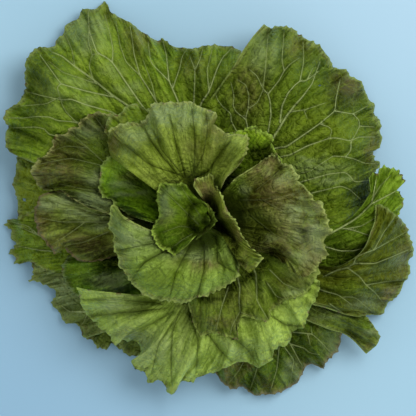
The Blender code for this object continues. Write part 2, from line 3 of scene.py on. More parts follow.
import bmesh
import bpy
import numpy as np
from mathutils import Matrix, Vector

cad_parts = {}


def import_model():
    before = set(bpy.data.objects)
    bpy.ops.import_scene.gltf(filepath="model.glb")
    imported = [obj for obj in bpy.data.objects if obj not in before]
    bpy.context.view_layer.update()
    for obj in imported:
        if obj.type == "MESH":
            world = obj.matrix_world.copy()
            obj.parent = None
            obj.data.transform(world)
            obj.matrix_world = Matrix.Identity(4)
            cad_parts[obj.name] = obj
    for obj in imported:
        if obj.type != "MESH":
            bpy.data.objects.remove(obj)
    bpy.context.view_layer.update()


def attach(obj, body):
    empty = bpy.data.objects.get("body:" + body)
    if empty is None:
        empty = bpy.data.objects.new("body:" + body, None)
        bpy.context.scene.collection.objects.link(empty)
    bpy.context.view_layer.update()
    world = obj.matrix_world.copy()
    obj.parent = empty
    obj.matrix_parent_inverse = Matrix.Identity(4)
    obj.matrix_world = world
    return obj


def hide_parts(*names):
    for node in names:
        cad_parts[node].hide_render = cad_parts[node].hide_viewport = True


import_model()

# The head is grown as its solids are: outlines on a square plan of 416 units seen from straight above, heights in mm.
# Here each leaf gets its veins, blisters, frills and colours, and settles on the leaves below it again.

# ---- driving dimensions
PLAN_UNIT = 0.00078  # metres for one plan unit, on the resting surface
EYE_HEIGHT = 1.5  # metres: plan outlines are as they look from this height
PLAN_MIDDLE = 208.0
STEM_PLAN = (204.0, 220.0)  # the stem's axis on the plan
STEM_RADIUS = 0.0160  # at the cut end
STEM_TOP_RADIUS = 0.0042
STEM_HEIGHT = 0.052
STEM_SIDES = 28
STEM_RINGS = 7
STEM_CLEARANCE = 0.0005  # between the stem and each leaf's base
FIRST_BASE, LAST_BASE = 4.5, 47.0  # mm: how high on the stem the lowest and the innermost leaf start
BLADE = 1.0  # mm, blade thickness of a leaf
PETIOLE = 2.6  # mm, more at the middle of a leaf's base
PETIOLE_REACH = 0.5  # of the leaf's length
LEAF_GAP = 0.7  # mm, least height between two leaves
LOOSE = 1.2  # mm, usual height between two leaves


LEAVES = [
    dict(name="under_leaf_front_left", touches=True, half=34, grid=(8, 6), z=(8, 13, 15, 11, 6),
         left=[(195, 250), (165, 305)], right=[(180, 240), (120, 290)],
         rim=[(120, 350), (111, 342), (108, 349), (105, 350), (101, 347.6), (97, 348), (95, 344.5), (92, 340), (84.5, 338), (82, 335), (78, 322)],
         folds=(2, 1.5, 0.2), lift=[], colour=(0.045, 0.085, 0.012), rough=0.5),
    dict(name="under_leaf_front", half=34, grid=(8, 6), z=(8, 13, 15, 11, 5),
         left=[(203, 260), (190, 315)], right=[(190, 250), (150, 300)],
         rim=[(166, 352), (150, 357), (135, 356), (126, 355), (117, 343.5), (108, 332)],
         folds=(2, 1.5, 0.6), lift=[], colour=(0.045, 0.085, 0.012), rough=0.5),
    dict(name="outer_leaf_front_left", touches=True, half=48, grid=(14, 7), z=(12, 22, 28, 22, 12),
         left=[(190, 245), (150, 300), (112, 330)], right=[(180, 228), (100, 240)],
         rim=[(86, 338), (82, 337), (84, 332), (82, 328), (77, 324), (66, 324), (62, 320.5), (60, 313), (55, 308), (51, 304), (52, 301), (56, 296), (54.5, 289), (50, 287), (43, 284), (35, 281), (28, 281), (31, 279), (33, 274), (32.6, 268), (31, 261.6), (36, 250)],
         folds=(4, 3.0, 0.1), lift=[(0, -6), (0.3, -11), (0.6, -6), (1, 2)], colour=(0.085, 0.125, 0.040), rough=0.45),
    dict(name="outer_leaf_left", half=46, grid=(11, 7), z=(13, 24, 32, 28, 18),
         left=[(180, 224), (100, 242)], right=[(180, 205), (100, 165)],
         rim=[(42, 242), (24, 233), (17.5, 218), (17.5, 206), (17, 197), (14, 190), (11, 184), (13, 182), (14.5, 178), (15.6, 169), (17, 156), (28, 148), (50, 140)],
         folds=(3, 3.0, 0.4), lift=[(0, 0), (0.5, -4), (1, 0)], colour=(0.075, 0.125, 0.018), rough=0.45),
    dict(name="outer_leaf_left_front", touches=True, half=46, grid=(14, 7), z=(14, 26, 33, 25, 10),
         left=[(185, 234), (110, 270)], right=[(180, 216), (110, 205)],
         rim=[(60, 274), (42, 270), (31, 261.6), (23, 262), (17, 265), (14.7, 263), (15, 258), (7.5, 253), (15, 248), (16, 243), (13.4, 239), (12.5, 233), (10, 228), (5, 225), (7, 220), (10.7, 218), (17, 219), (32, 210), (55, 205)],
         folds=(3, 3.0, 0.7), lift=[(0, 4), (0.5, -9), (1, 4)], colour=(0.085, 0.130, 0.025), rough=0.45),
    dict(name="outer_leaf_back_left", touches=True, half=56, grid=(26, 8), z=(17, 32, 42, 36, 18),
         left=[(150, 206), (90, 190), (40, 166)], right=[(214, 160), (234, 100)],
         rim=[(17.4, 156), (9, 152), (5.4, 146), (4.5, 136), (9, 126), (2.7, 120), (3.6, 115), (9, 108), (17, 103.6), (22, 97), (26, 87.5), (24, 76), (26, 70), (24, 64), (27, 58), (32, 51), (38, 47), (54.5, 47), (55.4, 39), (63.8, 34), (63.8, 28), (66, 23.7), (72, 21), (77.7, 18.3), (82, 9), (87, 8), (94.6, 9.8), (99, 5.4), (106, 1), (110.7, 11.6), (119, 16.5), (128.6, 21), (139, 29), (150, 37), (159, 41), (162, 38), (168, 43), (177, 47), (186, 48), (196, 48.5), (204, 45), (216.5, 45), (231, 46), (241.5, 51)],
         folds=(6, 4.0, 0.15), lift=[(0, 10), (0.15, 4), (0.3, 14), (0.42, -8), (0.6, -14), (0.8, -4), (1, 6)], colour=(0.105, 0.165, 0.022), rough=0.42),
    dict(name="outer_leaf_back_right", touches=True, half=56, grid=(26, 8), z=(18, 34, 46, 40, 16),
         left=[(199, 160), (197, 125), (205, 105), (212, 97), (226, 76.5), (233, 67), (241, 53), (253, 36)], right=[(258, 236), (318, 240)],
         rim=[(264, 24), (271, 29), (276, 25.6), (287.5, 26.5), (295.5, 29.6), (299, 35), (309, 39.5), (315, 43), (320.5, 46), (329.5, 57), (333.6, 68), (346.5, 69), (351, 77), (362, 80.5), (365, 90), (370, 100.6), (376, 106), (373, 113.6), (379, 119), (382.7, 126), (379, 129), (382.7, 138), (380, 149), (373, 150), (374.6, 161), (381, 161), (380, 166), (374.6, 172), (374, 186), (370, 205), (356, 226)],
         folds=(6, 4.0, 0.55), lift=[(0, 16), (0.12, 6), (0.35, -8), (0.55, -14), (0.75, -2), (1, 6)], colour=(0.095, 0.155, 0.018), rough=0.42),
    dict(name="outer_leaf_front_right", touches=True, half=48, grid=(17, 7), z=(20, 32, 38, 30, 12),
         left=[(235, 248), (280, 285), (318, 315)], right=[(205, 262), (202, 320)],
         rim=[(343, 332), (340.5, 338), (342, 341), (338, 351), (329, 359), (323, 367), (325, 370), (311, 364), (306, 367), (300, 378), (298, 384), (290, 387), (284, 391), (270.6, 395), (263.5, 394), (256, 397), (248, 391), (241, 386), (234, 390), (224, 385), (216.5, 375), (210, 364)],
         folds=(5, 3.0, 0.3), lift=[(0, 4), (0.5, -7), (1, 4)], colour=(0.070, 0.110, 0.016), rough=0.45),
    dict(name="outer_leaf_front_right_curled", half=34, grid=(10, 6), z=(22, 35, 40, 34, 26),
         left=[(245, 250), (300, 286), (338, 304)], right=[(236, 262), (276, 300), (305, 320), (330, 330), (346, 334), (356, 343)],
         rim=[(362, 312), (372, 322), (377, 330), (381, 337), (377, 346), (366, 354)],
         folds=(2, 2.0, 0.1), lift=[(0, 0), (0.5, 4), (1, -6)], colour=(0.060, 0.090, 0.020), rough=0.45),
    dict(name="outer_leaf_right", half=44, grid=(14, 7), z=(26, 40, 50, 48, 38),
         left=[(262, 214), (305, 222), (332, 226), (350, 219), (362, 206), (371, 192)], right=[(256, 250), (304, 284), (344, 290), (372, 274)],
         rim=[(369, 178), (373, 171), (375, 173), (379, 173), (381, 167), (383.6, 165), (387, 166), (388.5, 169), (391, 168), (399, 170.5), (400.5, 174), (404, 179), (404, 184), (400.5, 186), (396, 184), (394, 188), (400, 192), (404, 199), (404, 205), (399, 214), (394, 230), (386, 254)],
         folds=(3, 3.0, 0.2), lift=[(0, 0), (0.5, 4), (1, -12)], colour=(0.080, 0.165, 0.012), rough=0.40),
    dict(name="outer_leaf_right_front", half=46, grid=(19, 7), z=(28, 44, 56, 46, 16),
         left=[(250, 240), (300, 262), (337, 268), (346, 262.5), (358, 256), (367.5, 243), (370, 232), (375, 221)], right=[(245, 262), (290, 300), (326, 308), (345, 315)],
         rim=[(375, 205), (381, 204), (387, 207), (393, 212), (400.5, 218), (407, 226), (408.6, 235), (414.6, 249), (413, 257), (408, 261), (411, 270), (408, 279), (404.6, 281), (401, 292.5), (395, 299), (390, 300.5), (385, 309.5), (381, 316), (369, 315), (358, 317)],
         folds=(4, 3.0, 0.6), lift=[(0, 24), (0.2, 8), (0.5, -10), (0.8, -8), (1, 4)], colour=(0.085, 0.125, 0.012), rough=0.42),
    dict(name="mid_leaf_front_left", half=40, grid=(10, 7), z=(28, 40, 46, 42, 36),
         left=[(190, 238), (160, 285), (135, 305)], right=[(180, 234), (130, 240)],
         rim=[(112, 310), (92, 303), (75, 295), (66, 285), (62, 276), (62, 266), (66, 258), (78, 250), (90, 244)],
         folds=(3, 4.0, 0.3), lift=[(0, -4), (0.5, -6), (1, 2)], colour=(0.075, 0.140, 0.015), rough=0.36),
    dict(name="mid_leaf_front", half=58, grid=(26, 8), z=(30, 46, 56, 53, 38),
         left=[(240, 242), (285, 262)], right=[(192, 255), (165, 283), (140, 295), (118, 293), (90, 290)],
         rim=[(320, 281), (320, 289), (316, 299), (310, 309), (307, 319), (305, 328), (298, 329), (292, 333), (291, 341), (285, 348), (279, 346), (273, 351), (274, 360), (270, 362), (258, 369), (248, 362), (238, 363), (216.5, 372), (203, 375), (197, 377), (193, 383), (182, 381), (177, 386), (175, 394.5), (167, 393.5), (164, 382), (157, 380), (148, 384), (146, 373), (133.5, 368), (131, 361), (140, 357), (140, 345.5), (134.5, 341), (121, 340), (114.6, 346.5), (109, 334), (99, 328), (89, 318), (81, 306), (80, 295.5), (76, 287)],
         folds=(7, 4.0, 0.5), lift=[(0, 18), (0.25, 6), (0.5, -8), (0.75, -6), (1, 14)], colour=(0.135, 0.200, 0.045), rough=0.38),
    dict(name="mid_leaf_left", half=46, grid=(15, 7), z=(32, 48, 58, 57, 50),
         left=[(184, 232), (150, 250)], right=[(186, 216), (130, 196)],
         rim=[(116, 256), (103, 260), (89, 262.5), (78, 261), (70, 254), (62.5, 246), (55, 254.5), (48, 246), (43, 238), (38, 235), (37, 226), (34, 217), (34, 210), (38, 203), (38, 196), (50, 191), (74, 190)],
         folds=(4, 3.0, 0.2), lift=[(0, 0), (0.5, -4), (1, 4)], colour=(0.110, 0.140, 0.032), rough=0.42),
    dict(name="mid_leaf_left_back", half=48, grid=(19, 7), z=(34, 54, 66, 64, 50),
         left=[(182, 226), (145, 222), (112, 215)], right=[(192, 198), (165, 160)],
         rim=[(88, 208), (75, 201), (60, 190), (50, 191), (43, 190), (38, 186), (34, 180.5), (31, 174), (31, 168), (34, 164), (38, 158), (46, 155), (49, 149), (53, 146), (51, 140), (57, 134), (66, 133), (71, 126), (78, 128), (80, 120), (89, 114), (98, 112), (112, 114), (118, 116), (132, 122), (145, 135)],
         folds=(5, 4.0, 0.4), lift=[(0, 4), (0.5, -4), (1, 6)], colour=(0.085, 0.100, 0.028), rough=0.42),
    dict(name="mid_leaf_back", half=42, grid=(10, 7), z=(40, 60, 70, 74, 68),
         left=[(188, 202), (150, 170), (118, 146)], right=[(203, 195), (200, 150)],
         rim=[(104, 132), (106, 121), (111, 113), (118, 115), (126, 106), (134, 102.5), (141, 107), (149, 109), (165, 108), (188, 110)],
         folds=(3, 2.0, 0.3), lift=[], colour=(0.090, 0.130, 0.024), rough=0.42),
    dict(name="mid_leaf_front_right", half=48, grid=(17, 7), z=(40, 60, 69, 66, 54),
         left=[(240, 230), (285, 240)], right=[(200, 250), (192, 285)],
         rim=[(318, 254), (318.6, 265), (320, 272.5), (315, 279), (309, 290), (303, 296), (285, 300), (270, 313), (269, 322), (255, 319), (241, 316), (238, 330), (239, 341), (227.5, 336), (211, 333), (200, 338), (193, 322), (188, 304)],
         folds=(5, 3.0, 0.5), lift=[(0, 8), (0.5, -2), (1, 4)], colour=(0.080, 0.110, 0.018), rough=0.42),
    dict(name="inner_leaf_back_right", half=42, grid=(10, 7), z=(40, 58, 66, 76, 80),
         left=[(210, 195), (216, 155)], right=[(225, 208), (262, 195)],
         rim=[(226, 134), (235, 131), (244.5, 129), (250, 126), (256, 125), (258, 130.5), (268, 132), (274, 137), (274, 142), (271, 143), (277.5, 152), (284, 164), (286, 182)],
         folds=(2, 2.0, 0.3), lift=[], colour=(0.065, 0.120, 0.015), rough=0.42),
    dict(name="inner_leaf_right", half=60, grid=(21, 8), z=(44, 70, 86, 84, 70),
         left=[(216, 200), (235, 178)], right=[(222, 232), (245, 248)],
         rim=[(256, 165), (265, 158), (274, 154), (279, 158), (283, 164), (290, 164), (295, 169), (301, 179), (297, 181), (305, 185), (309, 190), (313, 196), (315, 202), (322, 203), (324, 207), (327, 217), (330, 227), (334, 232), (325, 238), (324, 246), (329, 254), (320, 264), (312, 275), (303, 278), (294, 274), (286, 265), (276, 256)],
         folds=(4, 3.0, 0.1), lift=[(0, 6), (0.4, 2), (0.6, -2), (0.8, -8), (1, -14)], colour=(0.075, 0.080, 0.020), rough=0.40),
    dict(name="inner_leaf_left_back", half=44, grid=(11, 7), z=(50, 70, 80, 80, 70),
         left=[(188, 225), (165, 226), (150, 222)], right=[(192, 202), (158, 165)],
         rim=[(136, 218), (123, 212), (114, 205), (110, 198.5), (103, 198), (98, 189), (99, 177), (100, 166), (108, 157), (118, 147), (132, 140)],
         folds=(3, 2.5, 0.6), lift=[], colour=(0.055, 0.090, 0.010), rough=0.42),
    dict(name="inner_leaf_back", half=64, grid=(24, 8), z=(52, 86, 102, 98, 82),
         left=[(185, 206), (155, 190), (128, 170)], right=[(216, 200), (226, 178)],
         rim=[(110.5, 156), (107, 144), (109, 128), (123, 123), (133, 122), (140, 124), (147, 116), (151.6, 103), (161, 102.5), (170, 101.6), (177.5, 102.5), (184.6, 100.7), (192, 100.7), (197, 105), (205, 108), (216, 112), (218.6, 117), (213, 121), (214, 125), (219.5, 127), (224, 131), (229, 135), (236, 133), (243, 134), (248, 135), (249, 141), (247, 151), (243, 161), (236, 169)],
         folds=(5, 3.0, 0.4), lift=[(0, -6), (0.4, 0), (0.8, 2), (1, 0)], colour=(0.120, 0.170, 0.040), rough=0.38),
    dict(name="inner_leaf_front", half=62, grid=(22, 8), z=(48, 78, 93, 90, 78),
         left=[(216, 234), (230, 240)], right=[(188, 222), (165, 230), (150, 230), (135, 223), (122, 215)],
         rim=[(240, 254), (240, 270), (237, 280), (229, 285), (215, 292), (205, 296), (190, 301), (183, 304), (175, 302), (168, 301), (150, 299), (140, 292), (133, 286), (130, 281), (124, 272), (117, 266), (119, 257), (114, 252), (113, 245), (114, 236), (108, 228), (110, 217), (109, 208), (112, 204), (117, 206)],
         folds=(5, 3.0, 0.7), lift=[(0, 0), (0.5, -2), (1, 6)], colour=(0.150, 0.215, 0.055), rough=0.38),
    dict(name="heart_leaf_right", half=60, grid=(17, 7), z=(52, 74, 96, 103, 100),
         left=[(207, 206), (200, 196)], right=[(220, 232), (232, 252), (241, 266)],
         rim=[(193, 186), (195, 178), (205, 177), (210, 173), (214, 175), (213, 182), (217, 187), (222, 195), (225, 203), (229, 213), (237, 222), (241, 232), (246, 241), (252, 248), (259, 253), (264, 258), (260, 264), (254, 270), (249, 273)],
         folds=(2, 1.5, 0.3), lift=[(0, -2), (0.5, 0), (0.75, -2), (1, -16)], colour=(0.100, 0.120, 0.024), rough=0.40),
    dict(name="heart_leaf_centre", half=80, grid=(12, 6), z=(50, 64, 76, 86, 90),
         left=[(208, 212)], right=[(200, 230)],
         rim=[(207, 203), (210, 206), (213, 211), (217, 219), (216, 224), (210, 230), (203, 235), (196, 240)],
         folds=(2, 1.0, 0.3), lift=[(0, 4), (1, -2)], colour=(0.090, 0.160, 0.012), rough=0.40),
    dict(name="heart_leaf_left", turn=88, half=-76, grid=(19, 7), z=(64, 84, 97, 98, 90),
         left=[(199, 233), (193, 239)], right=[(208, 211), (208, 206)],
         rim=[(189, 244), (180, 252), (175, 256), (170, 254), (168, 250), (161, 250), (157, 246), (154, 238), (151, 232), (152, 228), (157, 220), (159, 212), (157, 205), (157, 196), (158, 185), (161, 182), (167, 183), (176, 183), (185, 183), (195, 195), (206, 203)],
         folds=(3, 2.0, 0.2), lift=[(0, -4), (0.5, -2), (1, 2)], colour=(0.095, 0.170, 0.018), rough=0.38),
]



def curve(points, count, soft=0.0):
    """A smooth open line through about the given points, with its ends kept, as count+1 points evenly spaced. soft is in spacings."""
    p = np.array(points, float)
    run = np.concatenate([[0], np.cumsum(np.hypot(*np.diff(p, axis=0).T))])
    fine = np.linspace(0, run[-1], 801)
    q = np.stack([np.interp(fine, run, p[:, i]) for i in (0, 1)], 1)
    q = soften(q, max(1.3, soft * run[-1] / count) * 800 / max(run[-1], 1.0))
    run = np.concatenate([[0], np.cumsum(np.hypot(*np.diff(q, axis=0).T))])
    even = np.linspace(0, run[-1], count + 1)
    return np.stack([np.interp(even, run, q[:, i]) for i in (0, 1)], 1)


def soften(q, sigma):
    """The line q blurred along its length by sigma steps, with its ends kept."""
    reach = max(1, int(3 * sigma))
    w = np.exp(-0.5 * (np.arange(-reach, reach + 1) / sigma) ** 2)
    w /= w.sum()
    n = len(q)
    i = np.arange(-reach, n + reach)
    ends = 2 * q[[0]] - q[np.clip(-i[i < 0], 0, n - 1)], 2 * q[[-1]] - q[np.clip(2 * (n - 1) - i[i > n - 1], 0, n - 1)]
    wide = np.concatenate([ends[0], q, ends[1]])
    return np.stack([np.convolve(wide[:, k], w, "valid") for k in range(q.shape[1])], 1)


def smooth(x):
    x = np.clip(x, 0, 1)
    return x * x * (3 - 2 * x)


def through(knots, values, x):
    """A smooth line through the values at the knots (Catmull-Rom)."""
    k, v, x = np.array(knots, float), np.array(values, float), np.clip(x, knots[0], knots[-1])
    slope = np.gradient(v, k)
    i = np.clip(np.searchsorted(k, x, side="right") - 1, 0, len(k) - 2)
    h = k[i + 1] - k[i]
    a = (x - k[i]) / h
    return (v[i] * (1 + 2 * a) * (1 - a) ** 2 + slope[i] * h * a * (1 - a) ** 2
            + v[i + 1] * a * a * (3 - 2 * a) - slope[i + 1] * h * a * a * (1 - a))


def stem_radius(z):
    """Radius on the plan, in plan units, at z mm."""
    f = np.clip(np.asarray(z, float) / (STEM_HEIGHT * 1000), 0, 1)
    return (STEM_RADIUS + (STEM_TOP_RADIUS - STEM_RADIUS) * f) / PLAN_UNIT


def stem_height(r):
    f = (STEM_RADIUS - np.asarray(r, float) * PLAN_UNIT) / (STEM_RADIUS - STEM_TOP_RADIUS)
    return np.clip(f, 0, 1.0) * STEM_HEIGHT * 1000


ROWS = 26  # rows while a leaf's lines are being spread out


def spread(p):
    """Spreads the inner points of a grid evenly between its four sides, so that its lines don't cross."""
    for turn in range(420):
        ds, dt = (p[2:, 1:-1] - p[:-2, 1:-1]) / 2, (p[1:-1, 2:] - p[1:-1, :-2]) / 2
        if turn < 120:
            a = c = np.ones(ds.shape[:2] + (1,))
            b = 0 * a
        else:
            a, c, b = ((x * y).sum(-1, keepdims=True) for x, y in ((dt, dt), (ds, ds), (ds, dt)))
        cross = p[2:, 2:] - p[:-2, 2:] - p[2:, :-2] + p[:-2, :-2]
        new = (a * (p[2:, 1:-1] + p[:-2, 1:-1]) + c * (p[1:-1, 2:] + p[1:-1, :-2]) - b / 2 * cross) / (2 * (a + c) + 1e-9)
        p[1:-1, 1:-1] += 0.8 * (new - p[1:-1, 1:-1])
    return p


def lay_out(leaf, base):
    """Plan places (columns+1 by rows+1 by 2) of a leaf that starts base mm up the stem."""
    n, m = leaf["grid"]
    s, t = np.linspace(0, 1, n + 1)[:, None, None], np.linspace(0, 1, ROWS + 1)[None, :, None]
    rim = curve(leaf["rim"], n, 0.2)
    middle = rim.mean(0) - STEM_PLAN
    turn = leaf.get("turn", math.degrees(math.atan2(middle[0], -middle[1])))
    a = np.radians(turn + leaf["half"] * np.linspace(-1, 1, n + 1))
    r = stem_radius(base) + STEM_CLEARANCE / PLAN_UNIT
    start = np.stack([STEM_PLAN[0] + r * np.sin(a), STEM_PLAN[1] - r * np.cos(a)], 1)
    left = curve([start[0]] + leaf["left"] + [leaf["rim"][0]], ROWS)
    right = curve([start[-1]] + leaf["right"] + [leaf["rim"][-1]], ROWS)
    p = ((1 - s) * left[None] + s * right[None] + (1 - t) * start[:, None] + t * rim[:, None]
         - ((1 - s) * (1 - t) * start[0] + s * (1 - t) * start[-1] + (1 - s) * t * rim[0] + s * t * rim[-1]))
    p = spread(p)
    out = np.empty((n + 1, m + 1, 2))
    for k in range(n + 1):
        run = np.concatenate([[0], np.cumsum(np.hypot(*np.diff(p[k], axis=0).T))])
        for d in (0, 1):
            out[k, :, d] = np.interp(np.linspace(0, run[-1], m + 1), run, p[k, :, d])
    return out


def design(leaf, base, s, t):
    """Height in mm of a leaf's upper face before it rests on the leaves below."""
    z = through([0, 0.15, 0.35, 0.6, 0.85, 1], (base + BLADE,) + leaf["z"], t)
    count, size, shift = leaf["folds"]
    z = z + size * np.sin(2 * math.pi * (count * s + shift + 0.13 * np.sin(5 * s))) * smooth((t - 0.25) / 0.6)
    z = z + 0.7 * size * np.sin(2 * math.pi * (2.7 * count * s + 2 * shift)) * smooth((t - 0.7) / 0.3)
    if leaf["lift"]:
        k, v = zip(*leaf["lift"])
        z = z + np.interp(s, k, v) * smooth((t - 0.45) / 0.55)
    return z


def depth(s, t):
    """Thickness in mm: the blade, and more under the midrib near the base."""
    width = 0.16 + 0.10 * (1 - t)
    return BLADE + PETIOLE * np.exp(-(((s - 0.5) / width) ** 2)) * np.clip(1 - t / PETIOLE_REACH, 0, 1)


SIZE, EDGE = 460, 20  # the pile's height map: cells of one plan unit


def most(h, reach):
    """Each cell's highest neighbour within reach."""
    for axis in (0, 1):
        out = h.copy()
        for k in range(1, reach + 1):
            lo, hi = [slice(None)] * 2, [slice(None)] * 2
            lo[axis], hi[axis] = slice(0, -k), slice(k, None)
            out[tuple(lo)] = np.maximum(out[tuple(lo)], h[tuple(hi)])
            out[tuple(hi)] = np.maximum(out[tuple(hi)], h[tuple(lo)])
        h = out
    return h


def blur(h, sigma):
    reach = int(3 * sigma)
    w = np.exp(-0.5 * (np.arange(-reach, reach + 1) / sigma) ** 2)
    w /= w.sum()
    for axis in (0, 1):
        h = np.apply_along_axis(lambda row: np.convolve(np.pad(row, reach, mode="edge"), w, "valid"), axis, h)
    return h


def cells(p):
    i = np.clip(np.round(p[..., 0]).astype(int) + EDGE, 0, SIZE - 1)
    j = np.clip(np.round(p[..., 1]).astype(int) + EDGE, 0, SIZE - 1)
    return j, i


def samples(p, z, parts=8):
    """Places inside each quad with the heights of both ways of splitting it in two triangles."""
    a, b, c, d = (0, 0), (1, 0), (1, 1), (0, 1)
    corner = lambda x, k: x[k[0]:x.shape[0] - 1 + k[0], k[1]:x.shape[1] - 1 + k[1]]
    f = (np.arange(parts + 1)) / parts
    u, v = np.meshgrid(f, f, indexing="ij")
    u, v = u.ravel(), v.ravel()

    def mix(x, which):
        xa, xb, xc, xd = (corner(x, k)[..., None] for k in (a, b, c, d))
        if which == 0:
            return np.where(u >= v, xa + u * (xb - xa) + v * (xc - xb), xa + v * (xd - xa) + u * (xc - xd))
        return np.where(u + v <= 1, xa + u * (xb - xa) + v * (xd - xa), xc + (1 - u) * (xd - xc) + (1 - v) * (xb - xc))

    places = [np.stack([mix(p[..., 0], w), mix(p[..., 1], w)], -1) for w in (0, 1)]
    return places, [mix(z, w) for w in (0, 1)]


def corners_up(shape, lift):
    """Spreads each quad's lift to its four corners."""
    up = np.zeros(shape)
    for i in (0, 1):
        for j in (0, 1):
            part = up[i:shape[0] - 1 + i, j:shape[1] - 1 + j]
            np.maximum(part, lift, out=part)
    return up


def rest(leaf, base, pile, parts):
    """Lays a leaf on the pile. Returns plan places, upper and lower heights."""
    n, m = leaf["grid"]
    s, t = np.meshgrid(np.linspace(0, 1, n + 1), np.linspace(0, 1, m + 1), indexing="ij")
    near = most(pile, 1)
    loose = blur(most(pile, 3), 3.0)
    start = base
    for _ in range(3):
        p = lay_out(leaf, start)
        z = design(leaf, base, s, t)
        if leaf.get("touches"):
            z = z - (z - depth(s, t))[:, m // 2:].min() * smooth((t - 0.45) / 0.55)
        need = loose[cells(p)]
        z = np.maximum(z, np.where(need > 0.5, need + depth(s, t) + LOOSE, 0))
        z[:, 0] = np.maximum(z[:, 0], start + BLADE)
        slope = np.hypot(*[np.gradient(z)[1] / np.maximum(np.hypot(*np.gradient(p, axis=1).transpose(2, 0, 1)) * PLAN_UNIT * 1000, 0.3)] * 2) / math.sqrt(2)
        thick = depth(s, t) * np.minimum(np.sqrt(1 + slope ** 2), 2.2)
        total = np.zeros_like(z)
        for _ in range(12):
            places, tops = samples(p, z + total, parts)
            _, thicks = samples(p, thick, parts)
            lack = np.full((n, m), -1e9)
            for place, top, th in zip(places, tops, thicks):
                j, i = cells(place)
                floor = np.maximum(np.where(near[j, i] > 0, near[j, i] + LEAF_GAP, 0.0), 0.0)
                r = np.hypot(place[..., 0] - STEM_PLAN[0], place[..., 1] - STEM_PLAN[1]) - STEM_CLEARANCE * 0.8 / PLAN_UNIT
                floor = np.maximum(floor, np.where(r < stem_radius(0), stem_height(r), 0))
                lack = np.maximum(lack, (floor - (top - th)).max(-1))
            if lack.max() < 1e-4:
                break
            up = corners_up(z.shape, np.maximum(lack, 0) * 1.02)
            total = total + up
            soft = total.copy()
            for _ in range(2):
                wide = np.pad(soft, 1, mode="edge")
                soft = np.maximum(total, (wide[:-2, 1:-1] + wide[2:, 1:-1] + wide[1:-1, :-2] + wide[1:-1, 2:] + 2 * soft) / 6)
            total = soft
        z = z + total
        again = max(base, float((z - thick)[:, 0].mean()))
        if abs(again - start) < 0.4:
            break
        start = min(again, STEM_HEIGHT * 1000 - 1)
    return p, z, z - thick


def settle(pile, p, z):
    for place, top in zip(*samples(p, z, 10)):
        j, i = cells(place)
        np.maximum.at(pile, (j, i), top)


def world(p, z):
    """Metres from plan places and mm."""
    z = np.asarray(z, float) / 1000
    near = PLAN_UNIT * (1 - z / EYE_HEIGHT)
    x = (p[..., 0] - PLAN_MIDDLE) * near - (STEM_PLAN[0] - PLAN_MIDDLE) * PLAN_UNIT
    y = -(p[..., 1] - PLAN_MIDDLE) * near + (STEM_PLAN[1] - PLAN_MIDDLE) * PLAN_UNIT
    return np.stack([x, y, z], -1)



# ---- looks of each leaf
# size: columns, rows; bul: mm that the blade bulges between veins; net: plan units between the lines of a puckered net, pucker: its mm;
# pleat: mm, how many across; frill: mm, plan units a wave; tone: pale veins stand out light, dark ones are sunken lines;
# deep/mid/light: linear greens, gain: all of them; bronze: how much, edge: along the margin.
# spots: patches (b bronze, p pale, d dark: painted shade, g grey: painted sheen), plan place, half sizes, strength;
# shade: the span along the leaf (0 base, 1 margin) over which the painted shade at its base fades out.
DEFAULT = dict(size=(108, 68), net=9.0, pucker=0.5, bul=0.68, pleat=(0.6, 14), frill=1.8, wave=10.0, teeth=0.9, tone="pale", vein=0.62,
               beat=6.5, hair=0.5, shade=(-1.0, -0.5), plain=(2.0, 2.1), gloss=1.0, lace=(0.21, 0.28, 0.07), deep=(0.030, 0.062, 0.002), mid=(0.085, 0.140, 0.006), light=(0.145, 0.205, 0.022), gain=(1.0, 1.0, 1.0), bronze=0.25, edge=0.6,
               rough=0.42, seed=1, veins=[], spots=[])
